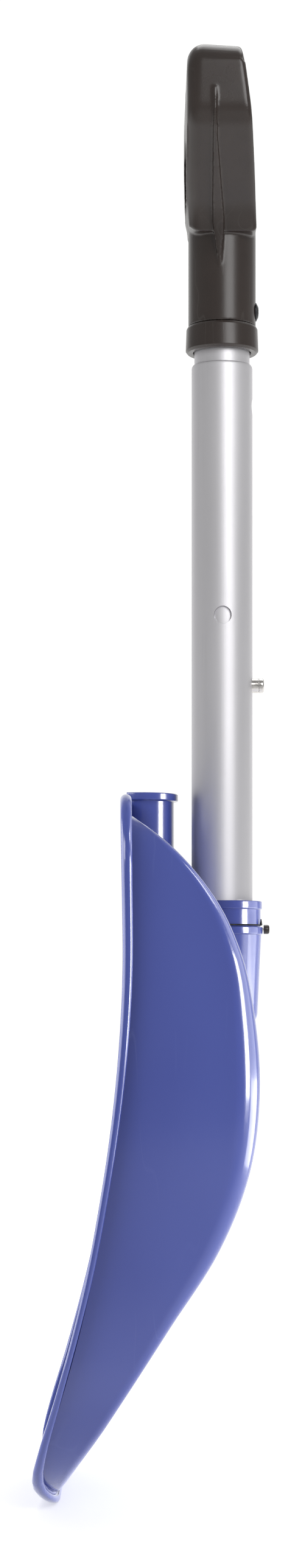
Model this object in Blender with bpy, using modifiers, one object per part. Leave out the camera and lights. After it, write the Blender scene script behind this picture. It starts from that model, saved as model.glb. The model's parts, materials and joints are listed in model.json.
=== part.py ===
"""Compact telescopic scoop shovel: moulded scoop, two-tube shaft with a snap button, and a D-grip.

Metres, +Z up along the shaft. The scoop's tip is at Z = 0, its hollow faces -X, and everything is
symmetric about Y = 0. Shapes are drawn from the foot of the shaft's axis, which stands at DATUM.
"""
import math

import bmesh
import bpy
import numpy as np
from mathutils import Matrix, Vector

# ---- driving dimensions ----
DATUM = (0.0356, 0.0, 0.0020)   # foot of the shaft's axis, in the object's own frame
GAP = 0.0003                # clearance between touching pieces
SEGMENTS = 48               # sides of the large round pieces
SMALL_SEGMENTS = 24         # sides of pins, buttons and screws
EDGE_BREAK = 0.0006         # chamfer on collars and on the pin's tip
HOLE_FROM, HOLE_TO = 0.008, 0.030       # reach of a cross hole's cutter, from the shaft's axis
CUT_PAST = 0.010            # how far other cutters run past what they cut

# scoop
WALL = 0.0026               # moulded wall
MOUTH_HALF_WIDTH = 0.105    # from the middle to the outside of a side wall, at the rim
MOUTH_BOTTOM = 0.0030       # where the pan meets the rim, at the tip and at the top
MOUTH_TOP = 0.3510
BOTTOM_CORNER = 0.075       # corner radii of the mouth, seen from the front
TOP_CORNER = 0.028
WIDEST = 0.210              # height at which the scoop is widest
NARROWING = 2.2             # how fast it narrows above and below that height
RIM_ROUND = 0.0009          # rounding of the rim's bends
DRAFT = 0.09                # how far a side wall leans in for its depth
CROWN = 0.0015              # bulge of the back between its side walls
END_STEPS, ARC_STEPS, SIDE_STEPS = 5, 6, 18
CORNER_STEPS = 4

# height up the scoop, then distance from the shaft's axis
FRONT_EDGE = [(-0.002, -0.0895), (0.005, -0.0940), (0.012, -0.0968), (0.020, -0.0966), (0.030, -0.0942),
              (0.060, -0.0851), (0.092, -0.0763), (0.120, -0.0697), (0.150, -0.0640), (0.200, -0.0565),
              (0.265, -0.0516), (0.320, -0.0520), (0.358, -0.0528)]
BACK = [(-0.002, -0.0860), (0.006, -0.0830), (0.046, -0.0592), (0.095, -0.0280), (0.131, -0.0046),
        (0.167, 0.0103), (0.208, 0.0164), (0.249, 0.0138), (0.280, 0.0070), (0.3085, -0.0068),
        (0.332, -0.0266), (0.358, -0.0590)]
RIM_WIDTH = [(0.000, 0.0020), (0.040, 0.0032), (0.100, 0.0044), (0.315, 0.0044), (0.351, 0.0060)]
RIM_DEPTH = [(0.000, 0.0076), (0.030, 0.0048), (0.150, 0.0038), (0.260, 0.0050), (0.358, 0.0058)]
BACK_CORNER = [(0.000, 0.0050), (0.070, 0.0070), (0.150, 0.0120), (0.230, 0.0150), (0.270, 0.0105),
               (0.310, 0.0060), (0.358, 0.0040)]

# shaft tubes
MAIN_R = 0.0160
MAIN_BORE_R = 0.0148
MAIN_BOTTOM, MAIN_TOP = 0.2483, 0.5895
UPPER_R = 0.0145
UPPER_BORE_R = 0.0133
UPPER_BOTTOM, UPPER_TOP = 0.3620, 0.6510
MAIN_ROLL, UPPER_ROLL = 0.0009, 0.0003  # how far the tubes' top edges are rolled in
TUBE_CHAMFER = 0.0004
PLUG_WALL = 0.0016
GLIDE_GAP = 0.0001          # how far the upper tube's plug stands inside the tube's outside
MAIN_PLUG_TOP = 0.2600
UPPER_PLUG_TOP, UPPER_PLUG_BOTTOM = 0.3740, 0.3576

# blade socket
SOCKET_BORE_R = MAIN_R + GAP
SOCKET_FLOOR = 0.2457
SOCKET_TOP, COLLAR_BOTTOM = 0.3084, 0.3040
COLLAR_R, SOCKET_R, SOCKET_WAIST_R, SOCKET_FOOT_R = 0.0210, 0.0203, 0.0206, 0.0187
SOCKET_FOOT, FAIRING_BOTTOM = 0.2500, 0.2385
BOSS_R, BOSS_BOTTOM, BOSS_TOP = 0.0213, 0.2909, 0.2948
SADDLE_R, SADDLE_TOP = 0.0192, 0.3280
TRIM = 0.080                # size of the block that trims the saddle
BORE_TOP = 0.3500           # where the bore's cut ends, above the scoop's top

# stow clip at the top of the scoop
CLIP_X = -0.0418
CLIP_BORE_R = UPPER_R + GAP
CLIP_R, CLIP_COLLAR_R = 0.0165, 0.0187
CLIP_BOTTOM, CLIP_COLLAR_BOTTOM, CLIP_TOP = 0.3100, 0.3606, 0.3645
CLIP_JAW_X = -0.0500

# lock pin and its ring
PIN_Z = 0.2936
PIN_R = 0.0014
PIN_TIP, PIN_SHOULDER, PIN_END = 0.0129, 0.0215, 0.0235
PIN_STUD_R = 0.0009
HEAD_R, HEAD_BACK, HEAD_FRONT = 0.0024, 0.0219, 0.0249
RING_R, RING_WIRE_R, RING_Z = 0.0212, 0.0004, 0.2957
RING_OPENING = math.radians(20)
HOOK_R, HOOK_WIRE_R, HOOK_RISE = 0.0215, 0.0008, 0.0032

# snap button, its spring and its holes
SNAP_Z, SNAP_UPPER_Z = 0.4217, 0.5680
SNAP_R = 0.0038
SNAP_HOLE_R = 0.0042
SNAP_TIP = 0.0219
SNAP_FLANGE_R, SNAP_FLANGE_BACK, SNAP_FLANGE_FRONT = 0.0050, 0.0109, 0.0119
SPRING_HALF_WIDTH, SPRING_THICK = 0.0030, 0.0006
SPRING_BEND_R, SPRING_DROP = 0.0060, 0.0397
SPRING_BACK_X = -0.0123
SPRING_STRAIGHT, SPRING_BACK_RISE, SPRING_FRONT_RISE = 0.009, 0.012, 0.010
SIDE_HOLE_Z, SIDE_HOLE_R = 0.4570, 0.0046

# D-grip
SOCKET_OUTER_R = 0.0177
SPIGOT_R, SPIGOT_BOTTOM, SPIGOT_TOP = 0.0164, 0.5980, 0.6100
GRIP_BOTTOM, GRIP_TOP = 0.6530, 0.7425
GRIP_SHOULDER = GRIP_BOTTOM + 0.010
GRIP_TOP_FALL = 0.0018      # the top falls this much from its front to its back
GRIP_FRONT = -0.0193
GRIP_BACK_FOOT = 0.0179
GRIP_LEAN, GRIP_CURVE = 0.045, 0.70     # slope of the back face at its foot, and how it grows
GRIP_RUN_IN = 0.024         # height over which the front face runs in to the socket
GRIP_TOP_ROUND = 0.0100     # rounding of the top's front edge
GRIP_ROUND, GRIP_BACK_ROUND, GRIP_BACK_TOP_ROUND = 0.0065, 0.0030, 0.0012
GRIP_CORNER = 0.013
# half-width, then height above the grip's foot, then corner radius
GRIP_OUTLINE = [(0, 0.0025), (0.0192, 0.0025), (0.0217, 0.0110, 0.030), (0.0600, 0.0510, 0.020),
                (0.0610, GRIP_TOP - GRIP_BOTTOM, GRIP_CORNER), (0, GRIP_TOP - GRIP_BOTTOM)]
GRIP_HOLE = [(0, 0.0630), (0.0450, 0.0630, 0.008), (0.0450, 0.0485, 0.012), (0.0160, 0.0215, 0.012),
             (0, 0.0195)]
RIB_OUTLINE = [(0.0160, -0.0180), (0.0174, -0.0165, 0.0005), (0.0236, 0.0085, 0.030), (0.0616, 0.0500, 0.020),
               (0.0609, 0.0655, 0.0005), (0.0540, 0.0530, 0.001), (0.0160, 0.0080)]
RIB_STEP = 0.008            # spacing of the rib's outline points
# height above the grip's foot, then the rib's thickness and the X of its middle
RIB_THICKNESS = [(-0.018, 0.0008), (-0.008, 0.0026), (0.004, 0.0056), (0.014, 0.0052), (0.034, 0.0028),
                 (0.052, 0.0014), (0.075, 0.0014)]
RIB_MIDDLE = [(-0.018, -0.0016), (0.010, -0.0026), (0.040, -0.0048), (0.075, -0.0054)]
SCREW_Z, SCREW_HEAD_R = 0.6180, 0.0048
SCREW_R, SCREW_HOLE_R = 0.0017, 0.0020
SCREW_POINT, SCREW_TAPER = 0.0108, 0.0125
SCREW_SEAT_DEPTH, SCREW_SEAT_ROOM = 0.0008, 0.0004
COLLAR_FOOT, FOOT_ROUND = 0.5962, 0.0011


# ---- collections, materials and placing ----
def new_collection(name):
    collection = bpy.data.collections.new(name)
    bpy.context.scene.collection.children.link(collection)
    return collection


def material(name, colour, roughness, metallic=0.0):
    """A Principled BSDF with one colour."""
    mat = bpy.data.materials.new(name)
    mat.use_nodes = True
    shader = mat.node_tree.nodes["Principled BSDF"]
    shader.inputs["Base Color"].default_value = (*colour, 1.0)
    shader.inputs["Roughness"].default_value = roughness
    shader.inputs["Metallic"].default_value = metallic
    return mat


def add_object(name, mesh, collection, parent=None, location=(0, 0, 0), along_x=False):
    """Link a mesh as an object; along_x turns a shape made about Z to lie along +X."""
    obj = bpy.data.objects.new(name, mesh)
    collection.objects.link(obj)
    obj.parent = parent
    obj.location = location
    if along_x:
        obj.rotation_euler = (0, math.pi / 2, 0)
    return obj


def finish_part(obj, mat, sharp_degrees=35):
    obj.data.materials.append(mat)
    obj.data.shade_smooth()
    obj.data.set_sharp_from_angle(angle=math.radians(sharp_degrees))
    return obj


def axis_empty(name, location, collection):
    empty = bpy.data.objects.new(name, None)
    empty.location = location
    collection.objects.link(empty)
    return empty


def as_cutter(obj):
    obj.hide_render = True
    obj.display_type = "WIRE"
    return obj


# ---- shape helpers ----
def curve_through(points):
    """A smooth function through (place, value) points."""
    places, values = np.array(points).T
    slopes = np.gradient(values, places)

    def value_at(place):
        i = int(np.clip(np.searchsorted(places, place) - 1, 0, len(places) - 2))
        step = places[i + 1] - places[i]
        s = np.clip((place - places[i]) / step, 0.0, 1.0)
        return float(values[i] * (1 + 2 * s) * (1 - s) ** 2 + slopes[i] * step * s * (1 - s) ** 2
                     + values[i + 1] * s * s * (3 - 2 * s) - slopes[i + 1] * step * s * s * (1 - s))
    return value_at


def mesh_from_bmesh(name, shape):
    mesh = bpy.data.meshes.new(name)
    shape.to_mesh(mesh)
    shape.free()
    return mesh


def turned(name, profile, collection, closed=False, steps=SEGMENTS, **placing):
    """Turn a profile of (radius, height) points, which runs down its outer side, about Z."""
    mesh = bpy.data.meshes.new(name)
    count = len(profile)
    edges = [(i, i + 1) for i in range(count - 1)]
    if closed:
        edges.append((count - 1, 0))
    mesh.from_pydata([(radius, 0, height) for radius, height in profile], edges, [])
    obj = add_object(name, mesh, collection, **placing)
    screw = obj.modifiers.new("Turn", "SCREW")
    screw.axis = "Z"
    screw.angle = math.tau
    screw.steps = screw.render_steps = steps
    screw.use_merge_vertices = True
    screw.merge_threshold = 0.00001
    screw.use_smooth_shade = True
    return obj


def rod(name, radius, start, end, collection, steps=SEGMENTS):
    """A cylinder between two points."""
    start, end = Vector(start), Vector(end)
    shape = bmesh.new()
    bmesh.ops.create_cone(shape, cap_ends=True, segments=steps, radius1=radius, radius2=radius,
                          depth=(end - start).length)
    turn = Vector((0, 0, 1)).rotation_difference(end - start).to_matrix().to_4x4()
    bmesh.ops.transform(shape, matrix=Matrix.Translation((start + end) / 2) @ turn, verts=shape.verts)
    return add_object(name, mesh_from_bmesh(name, shape), collection, location=DATUM)


def cross_hole(name, radius, height, collection):
    """The cutter for a hole along +X in the shaft's back."""
    return rod(name, radius, (HOLE_FROM, 0, height), (HOLE_TO, 0, height), collection, SMALL_SEGMENTS)


def block(name, low, high, collection):
    """A box between two corners."""
    low, high = Vector(low), Vector(high)
    shape = bmesh.new()
    bmesh.ops.create_cube(shape, size=1.0)
    size = Matrix.Diagonal((*(high - low), 1.0))
    bmesh.ops.transform(shape, matrix=Matrix.Translation((low + high) / 2) @ size, verts=shape.verts)
    return add_object(name, mesh_from_bmesh(name, shape), collection, location=DATUM)


def combine(obj, operation, other):
    boolean = obj.modifiers.new(f"{operation.title()} {other.name}", "BOOLEAN")
    boolean.operation = operation
    boolean.solver = "EXACT"
    boolean.object = as_cutter(other)


def filleted(corners, steps=5):
    """Points of an open outline; a corner given as (y, z, radius) is rounded, as (y, z) left sharp."""
    places = [Vector(corner[:2]) for corner in corners]
    points = [places[0]]
    for before, here, after, corner in zip(places, places[1:], places[2:], corners[1:]):
        if len(corner) == 2:
            points.append(here)
            continue
        back, ahead = (before - here).normalized(), (after - here).normalized()
        half_angle = back.angle(ahead) / 2
        reach = corner[2] / math.tan(half_angle)
        centre = here + (back + ahead).normalized() * corner[2] / math.sin(half_angle)
        first, last = here + back * reach - centre, here + ahead * reach - centre
        sweep = first.angle_signed(last)
        for i in range(steps + 1):
            turn = Matrix.Rotation(-sweep * i / steps, 2)
            points.append(centre + turn @ first)
    points.append(places[-1])
    return [(point.x, point.y) for point in points]


def slab(name, outline, low_x, high_x):
    """An outline of (y, z) points as a slab from low_x to high_x."""
    shape = bmesh.new()
    front = shape.faces.new([shape.verts.new((low_x, y, z)) for y, z in outline])
    grown = bmesh.ops.extrude_face_region(shape, geom=[front])["geom"]
    bmesh.ops.translate(shape, vec=(high_x - low_x, 0, 0),
                        verts=[item for item in grown if isinstance(item, bmesh.types.BMVert)])
    bmesh.ops.recalc_face_normals(shape, faces=shape.faces)
    return shape


# ---- scoop ----
front_edge = curve_through(FRONT_EDGE)
back_line = curve_through(BACK)
rim_width = curve_through(RIM_WIDTH)
rim_depth = curve_through(RIM_DEPTH)
back_corner = curve_through(BACK_CORNER)


def pan_depth(z):
    """Distance from the rim's back face to the outside of the scoop's back, at one height."""
    return max(back_line(z) - front_edge(z) - WALL, 0.0)


def mouth_outline(inset):
    """Half of the mouth's outline, from the tip's middle round to the top's middle."""
    half, bottom, top = MOUTH_HALF_WIDTH - inset, MOUTH_BOTTOM + inset, MOUTH_TOP - inset
    low_r, high_r = BOTTOM_CORNER - inset, TOP_CORNER - inset
    points = [((half - low_r) * i / END_STEPS, bottom) for i in range(END_STEPS)]
    for i in range(ARC_STEPS):
        angle = math.pi / 2 * i / ARC_STEPS
        points.append((half - low_r + low_r * math.sin(angle), bottom + low_r - low_r * math.cos(angle)))
    rise = top - high_r - bottom - low_r
    points += [(half, bottom + low_r + rise * i / SIDE_STEPS) for i in range(SIDE_STEPS)]
    for i in range(ARC_STEPS):
        angle = math.pi / 2 * i / ARC_STEPS
        points.append((half - high_r + high_r * math.cos(angle), top - high_r + high_r * math.sin(angle)))
    points += [((half - high_r) * (1 - i / END_STEPS), top) for i in range(END_STEPS + 1)]
    return points


def barrel(z):
    """Width at one height as a share of the widest, a little over half-way up."""
    return 1 - NARROWING * (z - WIDEST) ** 2


def pan_ring(inset_at, place_at):
    """One ring round the pan: inset_at and place_at give each point its inset and its X."""
    heights = [z for _, z in mouth_outline(0.0)]
    ring = []
    for i, height in enumerate(heights):
        y, z = mouth_outline(inset_at(height))[i]
        ring.append((place_at(z, height), y * barrel(z), z))
    return ring


def pan_rings():
    """Rings from the rim's turned edge, over the rim and down the walls, to the edge of the back."""
    def on_rim(inset_at, depth_at):
        return pan_ring(inset_at, lambda z, height: front_edge(z) + WALL + depth_at(z))

    rings = [on_rim(lambda height: -rim_width(height), lambda z: max(rim_depth(z) - WALL, 2 * RIM_ROUND)),
             on_rim(lambda height: -rim_width(height), lambda z: RIM_ROUND),
             on_rim(lambda height: min(RIM_ROUND, 0.4 * rim_width(height)) - rim_width(height),
                    lambda z: 0.0),
             on_rim(lambda height: -0.25 * rim_width(height), lambda z: 0.0)]

    def wall_depth(height):
        return pan_depth(min(max(height, MOUTH_BOTTOM + 0.02), MOUTH_TOP - 0.02))

    def corner(height):
        return min(back_corner(height), 0.6 * wall_depth(height))

    def on_wall(turn):
        """The ring at one angle round the bend from the wall into the back; None is the wall's top."""
        def inset(height):
            if turn is None:
                return 0.0
            straight = wall_depth(height) - corner(height)
            return DRAFT * straight + corner(height) * (1 - math.cos(turn))

        def place(z, height):
            share = 0.0
            if turn is not None:
                share = 1 - corner(height) * (1 - math.sin(turn)) / wall_depth(height)
            depth = RIM_ROUND + max(pan_depth(z) - RIM_ROUND, 0.0) * share
            return front_edge(z) + WALL + depth
        return pan_ring(inset, place)

    rings.append(on_wall(None))
    rings += [on_wall(math.pi / 2 * i / CORNER_STEPS) for i in range(CORNER_STEPS + 1)]
    return rings


def back_grid(edge):
    """A grid of points that fills the back inside its edge ring, rows from the middle outwards."""
    across = END_STEPS + ARC_STEPS // 2
    low, side, high = edge[:across + 1], edge[across:-across], edge[-across - 1:][::-1]
    rows = len(side)
    grid = []
    for j, rim_point in enumerate(side):
        v = (rim_point[2] - side[0][2]) / (side[-1][2] - side[0][2])
        middle = (0.0, low[0][2] + v * (high[0][2] - low[0][2]))
        line = []
        for i in range(across + 1):
            u = i / across
            corners = [(1 - u) * ((1 - v) * low[0][k] + v * high[0][k])
                       + u * ((1 - v) * low[-1][k] + v * high[-1][k]) for k in (1, 2)]
            y = (1 - v) * low[i][1] + v * high[i][1] + (1 - u) * middle[0] + u * rim_point[1] - corners[0]
            z = (1 - v) * low[i][2] + v * high[i][2] + (1 - u) * middle[1] + u * rim_point[2] - corners[1]
            ends = math.sin(math.pi * min(max(v, 0.0), 1.0)) if 0 < j < rows - 1 else 0.0
            x = front_edge(z) + WALL + pan_depth(z) + CROWN * ends * (1 - u * u)
            line.append((x, y, z))
        grid.append(line)
    return grid


def pan_mesh(name):
    """Half of the scoop's outside surface, open at Y = 0."""
    rings = pan_rings()
    shape = bmesh.new()
    ring_verts = [[shape.verts.new(point) for point in ring] for ring in rings]
    for outer, inner in zip(ring_verts, ring_verts[1:]):
        for i in range(len(outer) - 1):
            shape.faces.new((outer[i], outer[i + 1], inner[i + 1], inner[i]))
    edge = ring_verts[-1]
    across = END_STEPS + ARC_STEPS // 2
    side = edge[across:-across]
    grid = back_grid(rings[-1])
    grid_verts = []
    for j, line in enumerate(grid):
        if j == 0:
            grid_verts.append(edge[:across + 1])
        elif j == len(grid) - 1:
            grid_verts.append(edge[-across - 1:][::-1])
        else:
            grid_verts.append([shape.verts.new(point) for point in line[:-1]] + [side[j]])
    for lower, upper in zip(grid_verts, grid_verts[1:]):
        for i in range(across):
            shape.faces.new((lower[i], lower[i + 1], upper[i + 1], upper[i]))
    return mesh_from_bmesh(name, shape)


def socket_core(cutters):
    """The solid of the shaft socket: collar, ring boss, tapering body and the fairing below it."""
    fairing = [(SOCKET_FOOT_R * math.cos(angle),
                SOCKET_FOOT - (SOCKET_FOOT - FAIRING_BOTTOM) * math.sin(angle))
               for angle in np.linspace(0, math.pi / 2, 7)[1:-1]]
    profile = [(0, SOCKET_TOP), (COLLAR_R - EDGE_BREAK, SOCKET_TOP),
               (COLLAR_R, SOCKET_TOP - EDGE_BREAK),
               (COLLAR_R, COLLAR_BOTTOM), (SOCKET_R, COLLAR_BOTTOM), (SOCKET_R, BOSS_TOP),
               (BOSS_R, BOSS_TOP), (BOSS_R, BOSS_BOTTOM), (SOCKET_WAIST_R, BOSS_BOTTOM),
               (SOCKET_FOOT_R, SOCKET_FOOT), *fairing, (0, FAIRING_BOTTOM)]
    return turned("socket_core", profile, cutters, location=DATUM)


def saddle_core(cutters):
    """The half-round saddle above the socket's collar, where the scoop's top wraps round the shaft."""
    saddle = rod("saddle_core", SADDLE_R, (0, 0, COLLAR_BOTTOM), (0, 0, SADDLE_TOP), cutters)
    slope = Vector((back_line(SADDLE_TOP) - back_line(SOCKET_TOP), 0, SADDLE_TOP - SOCKET_TOP)).normalized()
    outward = Vector((slope.z, 0, -slope.x))
    foot = Vector((back_line(SOCKET_TOP), 0, SOCKET_TOP)) - outward * WALL / 2
    above = block("saddle_trim", (0, -TRIM, -TRIM), (TRIM, TRIM, TRIM), cutters)
    turn = Matrix((outward, (0, 1, 0), slope)).transposed().to_4x4()
    above.data.transform(Matrix.Translation(foot) @ turn)
    combine(saddle, "DIFFERENCE", above)
    return saddle


def clip_core(cutters):
    """The solid of the stow clip, a short collared tube whose bore takes the upper tube."""
    profile = [(0, CLIP_TOP), (CLIP_COLLAR_R - EDGE_BREAK, CLIP_TOP),
               (CLIP_COLLAR_R, CLIP_TOP - EDGE_BREAK),
               (CLIP_COLLAR_R, CLIP_COLLAR_BOTTOM), (CLIP_R, CLIP_COLLAR_BOTTOM), (CLIP_R, CLIP_BOTTOM),
               (0, CLIP_BOTTOM)]
    core = turned("clip_core", profile, cutters, location=(DATUM[0] + CLIP_X, 0, DATUM[2]))
    combine(core, "DIFFERENCE", block("clip_jaws",
                                      (CLIP_JAW_X - 2 * CLIP_R, -2 * CLIP_R, CLIP_BOTTOM - CUT_PAST),
                                      (CLIP_JAW_X, 2 * CLIP_R, CLIP_TOP + CUT_PAST), cutters))
    return core


def ring_curve(name, wire_r, hook, collection, **placing):
    """An open ring of round wire about the shaft, with its opening at the back and one end turned up."""
    curve = bpy.data.curves.new(name, "CURVE")
    curve.dimensions = "3D"
    curve.bevel_depth = wire_r
    curve.bevel_resolution = 2
    curve.render_resolution_u = 0
    curve.use_fill_caps = True
    path = [(RING_R, angle, RING_Z, 1.0) for angle in np.linspace(RING_OPENING, math.tau - RING_OPENING, 43)]
    if hook:
        path += [(HOOK_R, -RING_OPENING, RING_Z + 0.0003, HOOK_WIRE_R / wire_r),
                 (HOOK_R, -RING_OPENING, RING_Z + HOOK_RISE, 0.6)]
    spline = curve.splines.new("POLY")
    spline.points.add(len(path) - 1)
    for point, (radius, angle, z, thickness) in zip(spline.points, path):
        point.co = (radius * math.cos(angle), radius * math.sin(angle), z, 1)
        point.radius = thickness
    return add_object(name, curve, collection, **placing)


def mesh_of_curve(obj):
    """Replace a curve object with a closed mesh object of the same name."""
    evaluated = obj.evaluated_get(bpy.context.evaluated_depsgraph_get())
    mesh = bpy.data.meshes.new_from_object(evaluated)
    shape = bmesh.new()
    shape.from_mesh(mesh)
    bmesh.ops.remove_doubles(shape, verts=shape.verts, dist=0.00001)
    bmesh.ops.recalc_face_normals(shape, faces=shape.faces)
    shape.to_mesh(mesh)
    shape.free()
    name, parent, place, collection = obj.name, obj.parent, obj.matrix_world.copy(), obj.users_collection[0]
    bpy.data.objects.remove(obj)
    solid = add_object(name, mesh, collection, parent)
    solid.matrix_world = place
    return solid


def build_blade(parts, cutters, mat):
    blade = add_object("blade", pan_mesh("blade"), parts, location=DATUM)
    mirror = blade.modifiers.new("Other half", "MIRROR")
    mirror.use_axis = (False, True, False)
    mirror.merge_threshold = 0.0001
    shell = blade.modifiers.new("Wall", "SOLIDIFY")
    shell.thickness = WALL
    shell.offset = -1
    shell.use_even_offset = True
    combine(blade, "UNION", socket_core(cutters))
    combine(blade, "UNION", saddle_core(cutters))
    combine(blade, "UNION", clip_core(cutters))
    combine(blade, "DIFFERENCE", rod("socket_bore", SOCKET_BORE_R, (0, 0, SOCKET_FLOOR), (0, 0, BORE_TOP),
                                     cutters))
    combine(blade, "DIFFERENCE", rod("clip_bore", CLIP_BORE_R, (CLIP_X, 0, CLIP_BOTTOM - CUT_PAST),
                                     (CLIP_X, 0, CLIP_TOP + CUT_PAST), cutters))
    combine(blade, "DIFFERENCE", cross_hole("pin_hole", PIN_R + GAP, PIN_Z, cutters))
    slot = ring_curve("ring_slot", RING_WIRE_R + GAP, False, cutters, location=DATUM)
    combine(blade, "DIFFERENCE", mesh_of_curve(slot))
    return finish_part(blade, mat)


# ---- shaft ----
def tube(name, radius, bore, low, high, edge, collection, parent):
    """A round tube whose top outer edge is rolled in by edge."""
    rolled = [(radius - edge * (1 - math.cos(angle)), high - 2.2 * edge * (1 - math.sin(angle)))
              for angle in np.linspace(math.pi / 2, 0, 4)]
    profile = [(bore, high), *rolled, (radius, low + TUBE_CHAMFER), (radius - TUBE_CHAMFER, low), (bore, low)]
    return turned(name, profile, collection, closed=True, parent=parent)


def plug(name, spigot_r, rim_r, top, seat, bottom, collection, parent):
    """A cup-shaped end plug: a spigot in the tube and a rim under the tube's end."""
    inner_r, floor = spigot_r - PLUG_WALL, bottom + PLUG_WALL
    profile = [(spigot_r, top), (spigot_r, seat), (rim_r, seat), (rim_r, bottom), (0, bottom),
               (0, floor), (inner_r, floor), (inner_r, top)]
    return turned(name, profile, collection, closed=True, parent=parent)


def build_main_tube(parts, cutters, shaft, mat, plastic):
    main = tube("main_tube", MAIN_R, MAIN_BORE_R, MAIN_BOTTOM, MAIN_TOP, MAIN_ROLL, parts, shaft)
    for name, z in (("snap_hole", SNAP_Z), ("upper_snap_hole", SNAP_UPPER_Z)):
        combine(main, "DIFFERENCE", cross_hole(name, SNAP_HOLE_R, z, cutters))
    combine(main, "DIFFERENCE", cross_hole("main_pin_hole", PIN_R + GAP, PIN_Z, cutters))
    combine(main, "DIFFERENCE", rod("side_hole", SIDE_HOLE_R, (0, -HOLE_TO, SIDE_HOLE_Z),
                                    (0, -HOLE_FROM, SIDE_HOLE_Z), cutters, SMALL_SEGMENTS))
    finish_part(main, mat)
    seat = MAIN_BOTTOM - GAP
    main_plug = plug("main_tube_plug", MAIN_BORE_R - GAP, MAIN_R - GAP, MAIN_PLUG_TOP, seat,
                     SOCKET_FLOOR + GAP, parts, shaft)
    finish_part(main_plug, plastic)


def build_upper_tube(parts, cutters, handle, mat, plastic):
    upper = tube("upper_tube", UPPER_R, UPPER_BORE_R, UPPER_BOTTOM, UPPER_TOP, UPPER_ROLL, parts, handle)
    combine(upper, "DIFFERENCE", cross_hole("button_hole", SNAP_HOLE_R, SNAP_Z, cutters))
    combine(upper, "DIFFERENCE", cross_hole("screw_hole", SCREW_HOLE_R, SCREW_Z, cutters))
    finish_part(upper, mat)
    upper_plug = plug("upper_tube_plug", UPPER_BORE_R - GAP, UPPER_R - GLIDE_GAP, UPPER_PLUG_TOP,
                      UPPER_BOTTOM - GAP, UPPER_PLUG_BOTTOM, parts, handle)
    finish_part(upper_plug, plastic)


def build_lock_pin(parts, pin_axis, steel, black, wire):
    """The pin, its moulded head and the wire ring that holds it in."""
    pin = turned("lock_pin", [(0, PIN_END), (PIN_STUD_R, PIN_END), (PIN_STUD_R, PIN_SHOULDER),
                              (PIN_R, PIN_SHOULDER), (PIN_R, PIN_TIP + EDGE_BREAK),
                              (PIN_R - EDGE_BREAK, PIN_TIP), (0, PIN_TIP)],
                 parts, steps=SMALL_SEGMENTS, parent=pin_axis, along_x=True)
    finish_part(pin, steel)
    blind = PIN_END + GAP
    head_bore = PIN_STUD_R + GAP
    head = turned("lock_pin_head", [(0, HEAD_FRONT), (HEAD_R - 0.0007, HEAD_FRONT),
                                    (HEAD_R, HEAD_FRONT - 0.0007), (HEAD_R, HEAD_BACK),
                                    (head_bore, HEAD_BACK), (head_bore, blind), (0, blind)],
                  parts, steps=SMALL_SEGMENTS, parent=pin_axis, along_x=True)
    finish_part(head, black)
    ring = ring_curve("lock_pin_ring", RING_WIRE_R, True, parts, location=DATUM)
    finish_part(mesh_of_curve(ring), wire)


def build_snap_button(parts, handle, button_axis, steel, spring_steel):
    """The steel button and the V-shaped leaf spring that pushes it out."""
    button = turned("snap_button", [(0, SNAP_TIP), (SNAP_R - 0.0010, SNAP_TIP),
                                    (SNAP_R - 0.0003, SNAP_TIP - 0.0003), (SNAP_R, SNAP_TIP - 0.0010),
                                    (SNAP_R, SNAP_FLANGE_FRONT), (SNAP_FLANGE_R, SNAP_FLANGE_FRONT),
                                    (SNAP_FLANGE_R, SNAP_FLANGE_BACK), (0, SNAP_FLANGE_BACK)],
                    parts, steps=SMALL_SEGMENTS, parent=button_axis, along_x=True)
    finish_part(button, steel)

    left, right, bend_z = SPRING_BACK_X, SNAP_FLANGE_BACK - SPRING_THICK, SNAP_Z - SPRING_DROP
    bend = [(SPRING_BEND_R * math.cos(angle) + (left + right) / 2, bend_z + SPRING_BEND_R * math.sin(angle))
            for angle in np.linspace(math.radians(170), math.radians(370), 9)]
    path = [(left, SNAP_Z + SPRING_BACK_RISE), (left, SNAP_Z - SPRING_STRAIGHT), *bend,
            (right, SNAP_Z - SPRING_STRAIGHT), (right, SNAP_Z + SPRING_FRONT_RISE)]
    shape = bmesh.new()
    edges = [[shape.verts.new((x, y, z)) for x, z in path] for y in (-SPRING_HALF_WIDTH, SPRING_HALF_WIDTH)]
    for i in range(len(path) - 1):
        shape.faces.new((edges[0][i], edges[0][i + 1], edges[1][i + 1], edges[1][i]))
    spring = add_object("snap_spring", mesh_from_bmesh("snap_spring", shape), parts, handle)
    leaf = spring.modifiers.new("Leaf", "SOLIDIFY")
    leaf.thickness = SPRING_THICK
    leaf.offset = 0
    leaf.use_even_offset = True
    finish_part(spring, spring_steel)


# ---- grip ----
def grip_back(z):
    """X of the grip's back face, which leans forward as it rises."""
    rise = z - GRIP_BOTTOM
    return GRIP_BACK_FOOT - GRIP_LEAN * rise - GRIP_CURVE * rise ** 2


def grip_front(z):
    """X of the grip's front face, which runs in to the socket at its foot."""
    rise = min(max((z - GRIP_BOTTOM) / GRIP_RUN_IN, 0.0), 1.0)
    return -SOCKET_OUTER_R + (GRIP_FRONT + SOCKET_OUTER_R) * rise * rise * (3 - 2 * rise)


def above_foot(corners):
    """Outline corners given by their height above the grip's foot."""
    return [(corner[0], GRIP_BOTTOM + corner[1], *corner[2:]) for corner in corners]


def spaced(outline):
    """The same outline with its long stretches divided, so that they can follow a curved face."""
    points = []
    for (y1, z1), (y2, z2) in zip(outline, outline[1:]):
        count = max(1, round(math.hypot(y2 - y1, z2 - z1) / RIB_STEP))
        points += [(y1 + (y2 - y1) * i / count, z1 + (z2 - z1) * i / count) for i in range(count)]
    return points + [outline[-1]]


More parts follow.
